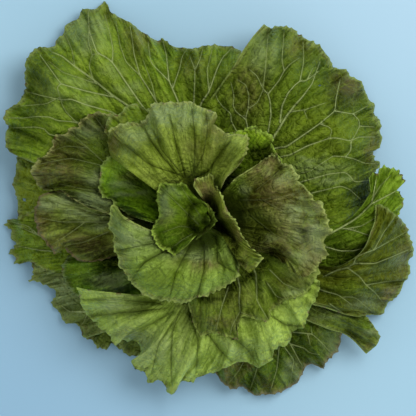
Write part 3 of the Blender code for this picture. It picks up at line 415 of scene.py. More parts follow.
LOOK = {
    "under_leaf_front_left": dict(size=(76, 44), seed=11, deep=(0.02, 0.045, 0.003), mid=(0.05, 0.09, 0.010), bronze=0.15),
    "under_leaf_front": dict(size=(76, 44), seed=12, deep=(0.02, 0.045, 0.003), mid=(0.05, 0.09, 0.010), bronze=0.15),
    "outer_leaf_front_left": dict(size=(144, 76), seed=13, pucker=0.7, spots=[("g", 60, 295, 18, 16, 0.7), ("d", 95, 280, 20, 12, 0.5)], mid=(0.090, 0.130, 0.040), light=(0.15, 0.20, 0.09), bronze=0.25, net=9, bul=1,
        veins=[(3.0, 1.4, [(112, 300), (88, 312), (69, 311.6), (62, 306)]), (1.8, 0.8, [(105, 285), (80, 290), (56, 292)]), (1.6, 0.7, [(100, 270), (60, 272), (38, 275)]), (1.4, 0.7, [(88, 312), (84, 322), (80, 327)])], gain=(1.56, 1.44, 1.44)),
    "outer_leaf_left": dict(size=(96, 58), seed=14, holes=[(24.6, 200)], bronze=0.3, gain=(1.92, 1.68, 1.21)),
    "outer_leaf_left_front": dict(size=(132, 68), seed=15, bronze=0.35, teeth=1.6,
        veins=[(2.0, 0.9, [(60, 240), (40, 236), (18, 226)]), (1.8, 0.8, [(60, 252), (38, 250), (18, 246)]), (1.4, 0.7, [(40, 236), (28, 226), (12, 222)])], gain=(1.8, 1.78, 1.1)),
    "outer_leaf_back_left": dict(size=(284, 134), seed=16, pucker=0.35, pleat=(0.7, 26), spots=[("d", 40, 112, 12, 10, 0.25), ("g", 88, 100, 16, 5, 0.4), ("g", 110, 70, 12, 5, 0.4), ("d", 104, 84, 14, 3, 0.3), ("d", 146, 96, 12, 3, 0.35), ("g", 92, 34, 14, 18, 0.95), ("p", 205, 70, 14, 12, 0.5), ("v", 200, 84, 16, 8, 0.5), ("g", 78, 82, 20, 6, 0.4), ("g", 130, 88, 16, 6, 0.4), ("v", 40, 112, 16, 12, 0.6), ("v", 205, 95, 24, 14, 0.5), ("v", 120, 60, 22, 20, 0.35), ("b", 138, 40, 13, 18, 0.65), ("b", 192, 63, 14, 12, 0.5), ("d", 38, 85, 15, 42, 0.7), ("p", 95, 60, 30, 30, 0.5), ("d", 205, 85, 26, 26, 0.6), ("d", 28, 136, 20, 12, 0.5), ("g", 72, 32, 14, 12, 0.5), ("b", 152, 34, 26, 8, 0.6), ("g", 60, 95, 26, 18, 0.3), ("b", 110, 14, 14, 8, 0.4)], net=12, bul=1.1, frill=2.6, bronze=0.32, light=(0.165, 0.225, 0.055),
        veins=[(4.4, 2.6, [(186, 150), (160, 128), (126, 104.5), (112.5, 95.5), (93, 79.5), (75, 66.5)]), (2.4, 1.2, [(75, 66.5), (62, 56), (52, 52)]),
               (2.2, 1.0, [(112.5, 97), (86, 91), (61, 84), (48, 66), (40, 55)]), (1.6, 0.8, [(61, 84), (57, 87), (60, 97)]),
               (2.4, 1.0, [(126, 122), (112, 112), (85, 104.5), (71, 99), (62, 100), (43, 96), (28, 92)]), (1.8, 0.8, [(100, 125), (76, 122), (66, 112), (62, 104.5), (60, 97)]),
               (2.0, 0.9, [(110, 134), (74, 122), (57, 120.5), (50, 117), (36, 116.5), (24, 118), (8, 118)]), (1.8, 0.8, [(80, 142), (48, 134), (45, 129), (36, 127), (13, 128)]),
               (1.6, 0.8, [(93, 79), (89, 66), (92, 55), (98, 53.6)]), (1.4, 0.6, [(92, 55), (88, 40), (89, 28)]), (2.8, 1.2, [(160, 130), (140, 103), (112.5, 62.5), (106, 57), (97, 53), (89, 30), (88, 12)]),
               (1.6, 0.7, [(112.5, 62.5), (113, 50), (111, 38), (105, 15)]), (2.6, 1.0, [(170, 130), (156, 101), (140, 75.5), (134, 54), (133, 45), (130, 26)]),
               (1.4, 0.7, [(140, 75.5), (126, 62), (120, 45), (116, 22)]), (2.8, 1.2, [(182, 132), (178, 101), (169, 81), (166.5, 55), (163, 42)]), (1.6, 0.8, [(169, 81), (151, 63), (148, 42)]),
               (1.6, 0.8, [(173, 88), (180, 67), (182, 57), (186, 50)]), (2.6, 1.0, [(190, 132), (194, 101), (195, 70), (190, 57)]), (1.4, 0.7, [(195, 70), (200, 59), (203, 48)]),
               (3.0, 1.3, [(196, 130), (201, 103), (209, 92), (217, 69), (223, 57), (232, 48)]), (1.4, 0.7, [(209, 92), (207, 70), (212, 50)]), (1.4, 0.7, [(156, 101), (152, 84), (143, 60)]),
               (1.2, 0.6, [(75, 66.5), (72, 50), (66, 36)]), (1.2, 0.6, [(100, 85), (80, 78), (62, 72), (50, 62)]), (1.3, 0.6, [(60, 97), (46, 104), (20, 106)])], gain=(1.87, 1.92, 0.88), vein=0.52),
    "outer_leaf_back_right": dict(size=(276, 134), seed=17, holes=[(320, 85.5)], pucker=0.35, pleat=(0.7, 26), spots=[("d", 300, 90, 16, 11, 0.3), ("g", 322, 166, 20, 4, 0.6), ("g", 336, 182, 18, 3, 0.6), ("g", 308, 158, 14, 3, 0.5), ("v", 300, 90, 20, 15, 0.95), ("d", 302, 90, 15, 10, 0.3), ("d", 288, 60, 8, 12, 0.25), ("v", 270, 100, 10, 12, 0.5), ("d", 362, 192, 12, 14, 0.7), ("v", 315, 170, 34, 10, 0.5), ("v", 262, 125, 16, 10, 0.5), ("b", 250, 95, 16, 28, 0.5), ("b", 348, 84, 16, 14, 0.85), ("b", 300, 45, 12, 10, 0.5), ("p", 315, 132, 38, 28, 0.7), ("d", 342, 96, 24, 18, 0.6), ("g", 265, 50, 16, 20, 0.55), ("b", 374, 150, 8, 20, 0.6), ("p", 285, 152, 22, 14, 0.5), ("g", 318, 170, 26, 8, 0.5), ("d", 330, 148, 18, 6, 0.5)], net=12, bul=1.2, frill=2.6, bronze=0.36, deep=(0.026, 0.055, 0.003), mid=(0.078, 0.128, 0.012),
        veins=[(4.6, 2.4, [(246, 180), (265, 150), (275, 135), (286, 117), (295, 105), (302, 97.5)]), (2.0, 0.9, [(302, 97.5), (312, 84), (320, 62)]), (2.6, 1.0, [(280, 122), (282, 106), (288, 93), (295, 85), (300, 81), (306, 81), (318, 72)]),
               (1.6, 0.8, [(300, 81), (303.6, 62), (303, 42)]), (1.6, 0.8, [(307, 80), (313, 68)]), (2.4, 1.0, [(268, 132), (271, 115), (270, 101), (268, 94), (263, 89), (257, 76), (250, 70)]),
               (1.8, 0.8, [(268, 94), (279, 80.5), (284, 71), (290, 64), (299, 58)]), (1.4, 0.7, [(284, 71), (282, 60), (284, 32)]), (1.4, 0.7, [(263, 88), (265, 72.5), (268, 34)]),
               (2.2, 0.9, [(250, 140), (247, 125), (245.5, 118), (248, 109), (257, 103), (263, 90)]), (1.6, 0.8, [(248, 109), (249, 96), (246, 85), (238, 80)]), (1.8, 0.8, [(245, 119), (236, 112), (233, 106), (234, 96), (231, 83)]),
               (1.8, 0.8, [(238, 134), (231, 121), (231, 114), (222, 106), (217, 99), (215, 92), (218, 86)]), (1.6, 0.8, [(290, 112), (296, 111), (304, 110), (325, 103)]), (1.2, 0.6, [(304, 110), (307, 118)]),
               (2.8, 1.1, [(265, 152), (276, 148), (286, 147), (305, 134), (320, 123.5), (335, 111), (336, 99), (340, 80)]), (1.8, 0.8, [(335, 111), (353, 114), (367.5, 106)]), (1.6, 0.8, [(353, 114), (359, 120), (359.5, 126), (356, 134), (351, 141)]),
               (1.4, 0.7, [(359.5, 126), (374, 127)]), (1.6, 0.8, [(320, 124), (329, 127), (332, 130.5), (330, 137)]), (2.4, 1.0, [(270, 160), (280, 157), (290, 155), (307, 146), (330, 138), (337, 138), (351, 141), (358, 137), (375, 137)]),
               (1.6, 0.8, [(351, 141), (351, 150), (346, 157), (333, 156), (320, 164.5), (311, 171), (302, 173)]), (1.5, 0.7, [(346, 157), (354, 159), (364, 163), (378, 164)]), (2.0, 0.9, [(285, 190), (301, 182), (329, 174), (345, 172), (351, 177), (354, 182), (369, 180.5)]),
               (1.6, 0.8, [(300, 198), (312, 193), (341, 186), (350, 189.5), (360, 199)])], gain=(1.06, 1.1, 0.5), gloss=0.75, vein=0.5),
    "outer_leaf_front_right": dict(size=(180, 86), seed=18, vein=0.34, pucker=0.9, spots=[("g", 330, 348, 9, 16, 0.6), ("g", 294, 374, 12, 12, 0.6), ("v", 316, 345, 12, 12, 0.4), ("d", 258, 382, 16, 8, 0.55), ("b", 300, 366, 10, 8, 0.5), ("b", 270, 388, 12, 6, 0.7), ("d", 300, 342, 30, 14, 0.5)], net=9, bul=1.2, bronze=0.55, deep=(0.018, 0.040, 0.003), mid=(0.050, 0.085, 0.008), frill=3.0,
        veins=[(2.6, 1.2, [(270, 320), (290.5, 344), (300, 362), (306, 372)]), (2.0, 1.0, [(292, 332), (312, 334), (319, 340), (330, 352)]), (1.4, 0.7, [(312, 334), (311, 326)]), (1.6, 0.8, [(308, 335), (310, 344)]),
               (2.0, 0.9, [(290.5, 344), (304, 348), (310, 353), (319.6, 354.5)]), (1.8, 0.8, [(285, 348), (294, 360), (290, 384)]), (2.0, 0.9, [(279, 348), (277, 369), (270, 392)]), (1.8, 0.8, [(262, 350), (256, 372), (250, 390)]), (1.6, 0.8, [(250, 350), (238, 372), (228, 384)])], gain=(1.08, 1.28, 0.5), hair=0.6, lace=(0.20, 0.18, 0.09), teeth=0.9, gloss=0.6),
    "outer_leaf_front_right_curled": dict(size=(108, 72), seed=19, pucker=0.4, spots=[("v", 368, 325, 5, 9, 1.0), ("g", 330, 316, 18, 3, 0.35), ("b", 372, 348, 6, 5, 0.7), ("g", 370, 334, 9, 4, 0.9), ("d", 350, 338, 12, 8, 0.9)], deep=(0.012, 0.026, 0.003), mid=(0.035, 0.060, 0.010), bronze=0.35, edge=0.3, frill=1.2, gain=(1.49, 1.49, 1.43)),
    "outer_leaf_right": dict(size=(144, 92), seed=20, pucker=0.4, pleat=(0.8, 18), spots=[("d", 345, 258, 24, 22, 0.9), ("p", 390, 182, 14, 14, 0.6)], net=9, bul=0.9, bronze=0.05, edge=0.25, teeth=1.3, deep=(0.030, 0.075, 0.003), mid=(0.080, 0.165, 0.010), light=(0.16, 0.27, 0.045), frill=3.2, wave=9,
        veins=[(3.0, 1.4, [(325, 236), (342.5, 227), (350.5, 222), (359, 216), (366, 209), (371, 204), (373, 198), (376, 180)]), (2.0, 1.0, [(371, 204), (383, 198), (398, 190)]), (1.8, 0.8, [(345, 229), (351, 228), (362, 226), (375, 218)]),
               (1.8, 0.8, [(342, 228), (356, 231), (367.5, 235), (380, 238)]), (1.8, 0.8, [(318, 245), (326, 247), (340, 251), (353, 251), (361, 249), (375, 245)]), (1.6, 0.8, [(373, 198), (380, 186), (390, 176)])], gain=(1.4, 1.32, 0.55), lace=(0.28, 0.44, 0.05), beat=6),
    "outer_leaf_right_front": dict(size=(180, 100), seed=21, pucker=0.5, pleat=(0.8, 16), spots=[("g", 366, 306, 14, 7, 0.7), ("b", 388, 298, 9, 8, 0.75), ("v", 350, 291, 16, 7, 0.6), ("b", 405, 262, 6, 14, 0.5), ("d", 330, 268, 12, 14, 0.5), ("g", 398, 262, 8, 8, 0.3), ("p", 352, 268, 22, 6, 0.4), ("b", 396, 290, 12, 16, 0.35), ("d", 340, 300, 20, 12, 0.5)], net=11, bul=1, bronze=0.2, deep=(0.030, 0.058, 0.003), mid=(0.080, 0.118, 0.010), light=(0.125, 0.165, 0.03),
        veins=[(2.8, 1.2, [(325, 276), (337, 270), (348, 267.5), (354, 263.5), (375, 263.5), (389, 258), (408, 250)]), (2.0, 0.9, [(354, 263), (356, 257), (365, 253), (374, 250), (384, 232), (394, 218)]), (2.2, 1.0, [(348, 268), (360, 277), (366, 285), (375, 292.5), (384, 304)]),
               (2.2, 1.0, [(315, 288), (327, 292), (338.5, 295), (352, 305)]), (1.6, 0.8, [(344, 297), (354, 297), (359, 300.5), (372, 312)]), (1.6, 0.8, [(330, 304), (346, 315)]), (1.6, 0.8, [(374, 250), (392, 240), (406, 232)]), (1.5, 0.7, [(366, 285), (384, 282), (402, 280)])], gain=(0.905, 0.799, 0.27), gloss=0.5, vein=0.36),
    "mid_leaf_front_left": dict(size=(116, 72), seed=22, pucker=1.0, spots=[("d", 110, 262, 16, 9, 1.0), ("g", 102, 276, 10, 4, 0.9), ("g", 118, 284, 12, 4, 1.0), ("d", 100, 284, 16, 3, 0.7), ("v", 72, 272, 10, 8, 0.8), ("d", 66, 282, 6, 8, 0.5), ("d", 109, 262, 12, 7, 1.0), ("g", 112, 282, 18, 9, 0.9), ("p", 78, 272, 12, 10, 0.6), ("d", 105, 268, 14, 6, 0.8)], net=9, bul=1.4, bronze=0.05, edge=0.3, rough=0.3, deep=(0.02, 0.05, 0.003), mid=(0.065, 0.135, 0.010), light=(0.19, 0.25, 0.11), gain=(1.04, 1.34, 0.25), hair=0.6, gloss=0.5, lace=(0.16, 0.22, 0.07)),
    "mid_leaf_front": dict(size=(264, 116), seed=23, pucker=0.35, pleat=(0.9, 13), spots=[("v", 304, 305, 14, 16, 0.4), ("p", 300, 318, 18, 12, 0.8), ("d", 300, 306, 6, 6, 0.4), ("g", 150, 350, 42, 26, 0.7), ("g", 115, 306, 24, 14, 0.9), ("g", 240, 350, 28, 12, 0.5), ("b", 200, 331, 6, 5, 0.9), ("b", 130, 336, 14, 6, 0.4), ("b", 175, 388, 16, 6, 0.4), ("d", 184, 318, 8, 14, 0.6)], net=15, bul=0.9, tone="dark", vein=0.28, bronze=0.22, deep=(0.060, 0.095, 0.012), mid=(0.140, 0.205, 0.050), light=(0.205, 0.275, 0.105), rough=0.38, frill=3.0, wave=13,
        veins=[(2.4, 1.0, [(180, 312), (176, 319), (172, 333), (171, 359), (172, 385)]), (2.0, 0.9, [(190, 312), (198, 340), (197, 360), (196, 372)]), (2.0, 0.9, [(172, 312), (150, 325), (128, 334)]), (1.8, 0.8, [(165, 308), (130, 312), (92, 316)]), (1.8, 0.8, [(176, 318), (158, 345), (152, 372)]),
               (1.6, 0.8, [(205, 330), (220, 350), (232, 362)]), (1.6, 0.8, [(230, 335), (248, 350), (258, 364)]), (1.6, 0.8, [(270, 315), (285, 325), (300, 326)]), (1.4, 0.7, [(160, 303), (120, 300), (84, 300)])], gain=(2.69, 2.65, 1.86), lace=(0.28, 0.40, 0.08), teeth=0.9, beat=8),
    "mid_leaf_left": dict(size=(156, 86), seed=24, vein=0.3, pucker=0.8, pleat=(1.8, 10), spots=[("g", 52, 202, 14, 7, 1.0), ("g", 78, 212, 12, 6, 0.8), ("g", 100, 222, 12, 5, 0.9), ("b", 88, 244, 22, 10, 0.9), ("v", 92, 204, 14, 4, 0.7), ("d", 70, 224, 20, 2.5, 0.6), ("d", 80, 232, 16, 2.5, 0.6), ("d", 80, 250, 20, 8, 0.55), ("v", 92, 224, 22, 4, 0.6), ("g", 60, 203, 24, 8, 0.9), ("g", 88, 216, 20, 8, 0.9), ("b", 42, 226, 8, 16, 0.9), ("d", 92, 250, 26, 12, 0.8), ("b", 70, 240, 20, 10, 0.6)], net=8, bul=1.4, bronze=0.6, deep=(0.032, 0.038, 0.005), mid=(0.095, 0.120, 0.025), light=(0.19, 0.24, 0.09),
        veins=[(2.2, 1.0, [(110, 222), (85, 222), (60, 222), (42, 218)]), (1.8, 0.8, [(108, 232), (85, 242), (64, 246)]), (1.6, 0.8, [(85, 222), (66, 236), (50, 246)]), (1.5, 0.7, [(100, 215), (75, 206), (48, 200)])], gain=(1.5, 1.62, 0.88), hair=0.6, lace=(0.16, 0.12, 0.06), teeth=0.8),
    "mid_leaf_left_back": dict(size=(192, 100), seed=25, vein=0.25, pucker=1.1, pleat=(1.0, 14), spots=[("d", 84, 134, 12, 6, 0.3), ("v", 85, 137, 14, 9, 0.6), ("v", 100, 150, 12, 12, 0.7), ("g", 92, 178, 10, 7, 0.9), ("g", 104, 190, 10, 6, 0.7), ("v", 78, 190, 20, 6, 0.5), ("p", 34, 168, 6, 10, 0.7), ("d", 60, 196, 20, 3, 0.5), ("b", 66, 170, 14, 10, 0.7), ("v", 98, 172, 16, 16, 0.7), ("v", 70, 145, 10, 8, 0.3), ("g", 85, 131, 18, 9, 0.6), ("b", 45, 170, 14, 16, 0.7), ("g", 95, 200, 18, 12, 0.9), ("b", 62, 150, 22, 16, 0.6), ("p", 102, 211, 14, 6, 0.6), ("p", 105, 180, 14, 14, 0.5)], net=8, bul=1.7, bronze=0.6, deep=(0.030, 0.036, 0.005), mid=(0.075, 0.095, 0.018), light=(0.180, 0.230, 0.085), frill=3.0,
        veins=[(2.2, 1.0, [(140, 180), (100, 165), (70, 158), (40, 164)]), (1.8, 0.8, [(110, 168), (88, 148), (72, 134)]), (1.8, 0.8, [(125, 190), (88, 190), (60, 184)]), (1.6, 0.8, [(120, 150), (105, 130), (96, 118)]), (1.5, 0.7, [(88, 148), (66, 146), (54, 150)])], gain=(0.6, 0.7, 0.3), hair=0.6, lace=(0.34, 0.36, 0.12), teeth=1.1, gloss=0.8),
    "mid_leaf_back": dict(size=(100, 72), seed=26, pucker=0.8, spots=[("b", 116, 115, 8, 5, 0.9)], net=8, bul=1.2, bronze=0.4, gain=(1.38, 1.44, 0.8)),
    "mid_leaf_front_right": dict(size=(180, 100), seed=27, pucker=0.8, pleat=(1.5, 13), spots=[("d", 214, 297, 16, 4, 0.9), ("d", 231, 289, 10, 5, 0.9), ("d", 243, 279, 6, 6, 0.9), ("b", 222, 322, 16, 8, 0.6), ("d", 237, 283, 9, 7, 1.0), ("d", 249, 274, 9, 7, 1.0), ("d", 262, 265, 10, 7, 1.0), ("d", 276, 256, 12, 7, 1.0), ("d", 225, 290, 8, 5, 0.9), ("g", 305, 262, 14, 12, 0.6), ("v", 285, 268, 18, 8, 0.5), ("g", 255, 326, 16, 6, 0.9), ("g", 297, 294, 12, 6, 0.8), ("b", 235, 300, 20, 16, 0.4), ("b", 290, 280, 20, 10, 0.4)], net=9, bul=1.4, tone="pale", vein=0.30, bronze=0.42, deep=(0.025, 0.045, 0.003), mid=(0.085, 0.120, 0.016), light=(0.165, 0.200, 0.070), frill=2.4,
        veins=[(2.4, 1.4, [(236, 270), (240, 288), (239, 300), (240, 312), (250, 316)]), (2.6, 1.4, [(252, 266), (256, 274), (257, 301), (270, 323)]), (2.4, 1.2, [(277, 313), (288, 301), (306, 294), (314, 284)]), (2.0, 1.0, [(228, 288), (222, 306), (216, 330)]), (1.8, 0.9, [(240, 312), (232, 326), (230, 336)]), (1.8, 0.9, [(270, 270), (284, 284), (300, 290)]), (1.6, 0.9, [(268, 284), (276, 296), (288, 301)])], gain=(1.27, 1.49, 0.6), hair=0.6, lace=(0.26, 0.34, 0.07)),
    "inner_leaf_back_right": dict(size=(100, 72), seed=28, pucker=0.3, spots=[("d", 266, 158, 14, 12, 1.0), ("d", 254, 164, 10, 6, 0.8), ("p", 258, 133, 14, 6, 1.0), ("d", 262, 154, 18, 15, 1.0), ("p", 236, 134, 12, 4, 0.8), ("d", 262, 154, 14, 13, 1.0), ("d", 260, 152, 11, 11, 1.0), ("g", 256, 128, 10, 4, 0.6)], net=8, bul=0.9, bronze=0.15, deep=(0.016, 0.036, 0.002), mid=(0.060, 0.110, 0.010), gain=(2.73, 2.99, 1.32), shade=(0.45, 0.75), lace=(0.34, 0.50, 0.07), teeth=1.3),
    "inner_leaf_right": dict(size=(196, 110), seed=29, vein=0.10, pucker=1.0, pleat=(1.3, 12), spots=[("g", 294, 211, 14, 11, 0.8), ("g", 246, 194, 4, 8, 0.7), ("g", 275, 236, 8, 4, 0.6), ("b", 268, 182, 10, 12, 0.9), ("p", 316, 250, 12, 14, 0.6), ("v", 236, 178, 12, 24, 1.0), ("g", 316, 236, 14, 12, 0.9), ("p", 302, 262, 16, 12, 0.7), ("g", 300, 258, 13, 9, 0.55), ("v", 296, 270, 14, 8, 0.5), ("v", 238, 182, 10, 22, 1.0), ("d", 256, 241, 15, 10, 0.8), ("d", 272, 250, 16, 6, 0.95), ("g", 322, 244, 12, 16, 0.8), ("v", 262, 215, 16, 10, 0.35), ("d", 240, 218, 5, 12, 0.8), ("p", 238, 182, 9, 22, 1.0), ("b", 272, 198, 28, 26, 0.9), ("g", 300, 234, 14, 14, 0.6), ("d", 303, 231, 6, 8, 0.9), ("g", 312, 212, 8, 10, 0.6), ("g", 282, 176, 16, 8, 0.4)], net=8, bul=1.7, bronze=0.95, deep=(0.030, 0.036, 0.004), mid=(0.062, 0.072, 0.013), light=(0.170, 0.190, 0.095), rough=0.36, frill=3.0,
        veins=[(2.6, 1.2, [(240, 200), (262, 200), (285, 196), (305, 190)]), (2.0, 0.9, [(262, 200), (290, 215), (318, 222)]), (2.0, 0.9, [(250, 215), (275, 235), (296, 245)]), (1.8, 0.8, [(256, 190), (275, 175), (284, 166)]), (1.6, 0.8, [(285, 196), (300, 206), (314, 208)])], gain=(1.3, 1.57, 0.5), hair=0.6, lace=(0.34, 0.40, 0.11), teeth=1.3, beat=6, plain=(0.80, 1.2)),
    "inner_leaf_left_back": dict(size=(116, 72), seed=30, pucker=0.5, pleat=(0.9, 14), spots=[("p", 118, 158, 18, 10, 0.5), ("b", 112, 164, 10, 8, 0.4), ("v", 125, 190, 24, 10, 0.5), ("p", 108, 168, 10, 8, 1.0), ("b", 132, 176, 16, 8, 0.5), ("g", 142, 192, 8, 3, 0.8), ("g", 122, 186, 12, 3, 0.6), ("p", 102, 184, 5, 10, 0.8), ("d", 135, 200, 26, 26, 0.6), ("g", 125, 196, 10, 3, 0.7)], net=9, bul=0.9, tone="dark", vein=0.4, bronze=0.1, deep=(0.020, 0.042, 0.002), mid=(0.050, 0.085, 0.006), light=(0.11, 0.16, 0.03), gain=(2.76, 3.33, 0.72), lace=(0.26, 0.36, 0.08), teeth=1.3),
    "inner_leaf_back": dict(size=(224, 120), seed=31, pucker=0.3, pleat=(0.45, 15), spots=[("d", 150, 176, 10, 5, 0.4), ("b", 112, 140, 6, 14, 0.8), ("g", 128, 148, 8, 5, 0.5), ("b", 200, 150, 16, 14, 0.4), ("g", 168, 114, 36, 12, 0.8), ("b", 217, 127, 12, 18, 0.7), ("b", 118, 132, 14, 12, 0.3), ("d", 226, 158, 16, 14, 0.7), ("g", 138, 134, 18, 8, 0.5), ("p", 238, 140, 11, 6, 1.0), ("d", 234, 151, 10, 3, 0.5)], net=14, bul=0.75, tone="dark", vein=0.42, bronze=0.4, edge=0.8, deep=(0.050, 0.080, 0.008), mid=(0.125, 0.180, 0.036), light=(0.200, 0.265, 0.100), rough=0.36, frill=2.4, wave=12,
        veins=[(1.8, 0.8, [(185, 178), (178, 175), (165, 160), (150, 140), (142, 120)]), (1.8, 0.8, [(185, 178), (184, 172), (176, 145), (170, 115)]), (1.8, 0.8, [(188, 178), (194, 172), (195, 140), (192, 110)]), (1.8, 0.8, [(195, 178), (208, 172), (222, 150), (230, 142)]),
               (1.5, 0.7, [(182, 176), (150, 165), (125, 145), (114, 132)]), (1.5, 0.7, [(192, 176), (203, 155), (208, 130), (206, 115)]), (1.4, 0.7, [(180, 172), (160, 148), (155, 120)])], gain=(1.74, 1.67, 0.92), lace=(0.31, 0.36, 0.10), teeth=1.0, plain=(-0.5, 0.10)),
    "inner_leaf_front": dict(size=(212, 110), seed=32, pucker=0.4, pleat=(0.5, 14), spots=[("d", 240, 258, 5, 16, 0.9), ("g", 136, 240, 18, 18, 0.6), ("b", 180, 262, 14, 6, 0.35), ("g", 125, 232, 14, 20, 0.7), ("p", 215, 290, 20, 7, 0.9), ("g", 136, 236, 22, 16, 0.9), ("b", 204, 262, 16, 8, 0.8), ("g", 186, 253, 32, 6, 0.8), ("b", 118, 258, 7, 20, 0.5), ("b", 208, 262, 4, 4, 0.9), ("v", 160, 280, 22, 9, 0.8), ("d", 135, 216, 22, 5, 0.7), ("d", 232, 256, 7, 18, 0.6)], net=15, bul=0.68, tone="dark", vein=0.42, bronze=0.34, edge=0.8, deep=(0.070, 0.110, 0.014), mid=(0.165, 0.240, 0.062), light=(0.245, 0.335, 0.130), rough=0.36, frill=2.6, wave=10,
        veins=[(1.8, 0.8, [(216, 236), (217, 243), (217, 262), (225, 267), (235, 272)]), (1.8, 0.8, [(180, 246), (163, 252), (145, 262), (140, 268), (132, 280)]), (1.6, 0.8, [(190, 245), (176, 272), (170, 296)]), (1.6, 0.8, [(204, 244), (204, 270), (198, 294)]), (1.5, 0.7, [(175, 240), (145, 245), (120, 250)])], gain=(1.44, 1.52, 0.88), lace=(0.34, 0.43, 0.10), teeth=1.3, beat=7),
    "heart_leaf_right": dict(size=(168, 72), seed=33, pucker=0.4, spots=[("b", 200, 188, 9, 10, 0.9), ("b", 228, 214, 5, 8, 0.7), ("b", 244, 262, 3, 6, 0.8), ("v", 246, 250, 8, 12, 0.5), ("d", 226, 234, 8, 8, 1.0), ("d", 231, 243, 8, 8, 1.0), ("d", 236, 252, 7, 8, 1.0), ("d", 240, 261, 5, 7, 1.0), ("v", 254, 258, 12, 7, 0.8), ("b", 207, 192, 10, 13, 0.9), ("b", 236, 228, 6, 26, 0.6)], net=7, bul=0.6, bronze=0.75, edge=0.7, deep=(0.045, 0.075, 0.006), mid=(0.095, 0.125, 0.020), light=(0.175, 0.220, 0.050), frill=2.0, wave=8, gain=(1.1, 1.15, 0.5), shade=(0.20, 0.55), lace=(0.34, 0.42, 0.10), teeth=0.9, beat=5, gloss=0.5, plain=(0.93, 1.3)),
    "heart_leaf_centre": dict(size=(108, 52), seed=34, net=7, bul=0.45, bronze=0.05, edge=0.2, deep=(0.03, 0.07, 0.003), mid=(0.085, 0.150, 0.010), light=(0.20, 0.28, 0.06), frill=1.4, wave=7, shade=(0.1, 0.62), lace=(0.32, 0.46, 0.07), teeth=0.9, beat=4.5, gain=(1.38, 1.38, 0.88)),
    "heart_leaf_left": dict(size=(168, 92), seed=35, pucker=0.35, pleat=(0.8, 12), spots=[("g", 172, 190, 9, 6, 0.6), ("p", 178, 194, 9, 6, 0.9), ("g", 163, 206, 7, 13, 0.75), ("v", 182, 214, 20, 20, 0.9), ("b", 166, 216, 4, 4, 0.6), ("b", 162, 222, 6, 6, 0.5), ("d", 192, 232, 12, 12, 0.6), ("p", 180, 195, 12, 8, 0.7)], net=10, bul=0.68, bronze=0.06, edge=0.35, deep=(0.030, 0.068, 0.003), mid=(0.095, 0.165, 0.012), light=(0.200, 0.290, 0.080), rough=0.34, frill=1.8, wave=9,
        veins=[(1.6, 0.8, [(198, 224), (188, 214), (173, 199), (160, 187)]), (1.2, 0.6, [(194, 228), (180, 226), (164, 232)]), (1.2, 0.6, [(192, 234), (182, 240), (172, 248)]), (1.2, 0.6, [(200, 216), (190, 200), (182, 188)])], gain=(0.682, 0.814, 0.242), lace=(0.32, 0.46, 0.07), teeth=1.0, beat=5.5, gloss=0.45, vein=0.22),
}


def noise(p, scale, seed):
    """Smooth random values from 0 to 1, one bump about every scale plan units."""
    x, y = p[..., 0] / scale + 37.3 * seed, p[..., 1] / scale + 11.9 * seed
    i, j = np.floor(x).astype(np.int64), np.floor(y).astype(np.int64)
    u, v = smooth(x - i), smooth(y - j)
    return ((1 - u) * (1 - v) * dice(i, j, seed) + u * (1 - v) * dice(i + 1, j, seed)
            + (1 - u) * v * dice(i, j + 1, seed) + u * v * dice(i + 1, j + 1, seed))


def dice(i, j, seed):
    h = (i * 374761393 + j * 668265263 + seed * 974634777) & 0xFFFFFFFF
    h = ((h ^ (h >> 13)) * 1274126177) & 0xFFFFFFFF
    return ((h ^ (h >> 16)) & 0xFFFF) / 65535.0


def net(p, spacing, seed):
    """0 on the lines of an uneven net, rising to about 1 in the middle of its meshes."""
    q = p + spacing * 0.9 * (np.stack([noise(p, spacing * 1.7, seed + 3), noise(p, spacing * 1.7, seed + 4)], -1) - 0.5)
    x, y = q[..., 0] / spacing, q[..., 1] / spacing
    i, j = np.floor(x).astype(np.int64), np.floor(y).astype(np.int64)
    best = np.full(x.shape, 9.0)
    second = np.full(x.shape, 9.0)
    for a in (-1, 0, 1):
        for b in (-1, 0, 1):
            d = np.hypot(i + a + 0.15 + 0.7 * dice(i + a, j + b, seed) - x, j + b + 0.15 + 0.7 * dice(i + a, j + b, seed + 9) - y)
            second = np.minimum(second, np.maximum(best, d))
            best = np.minimum(best, d)
    return np.clip((second - best) / 0.75, 0, 1)


def near_veins(p, veins):
    """Around veins: a soft band on each; how far the nearest is, that with its side as sign, and that vein's width, in plan units."""
    band = np.zeros(p.shape[:-1])
    far = np.full(p.shape[:-1], 14.0)
    signed, width = far.copy(), np.ones(p.shape[:-1])
    for first, last, line in veins:
        line = curve(line, max(6, int(len(line) * 4)))
        w = np.linspace(first, last, len(line))
        here = ((p > line.min(0) - 14) & (p < line.max(0) + 14)).all(-1)
        if not here.any():
            continue
        q = p[here]
        close, side, wide = np.full(len(q), 14.0), np.full(len(q), 14.0), np.ones(len(q))
        for k in range(len(line) - 1):
            a, d = line[k], line[k + 1] - line[k]
            f = np.clip(((q - a) @ d) / max(d @ d, 1e-9), 0, 1)
            off = q - a - f[:, None] * d
            dist = np.hypot(*off.T)
            better = dist < close
            close = np.where(better, dist, close)
            side = np.where(better, dist * np.sign(d[0] * off[:, 1] - d[1] * off[:, 0]), side)
            wide = np.where(better, w[k] + (w[k + 1] - w[k]) * f, wide)
        soft = np.exp(-((close / (0.40 * wide + 1.1)) ** 2)) * np.minimum(1.0, 0.55 + 0.3 * wide)
        band[here] = np.maximum(band[here], soft)
        won = close - 0.35 * wide < far[here] - 0.35 * width[here]
        far[here] = np.where(won, close, far[here])
        signed[here] = np.where(won, side, signed[here])
        width[here] = np.where(won, wide, width[here])
    return band, far, np.clip(signed, -8, 8), width


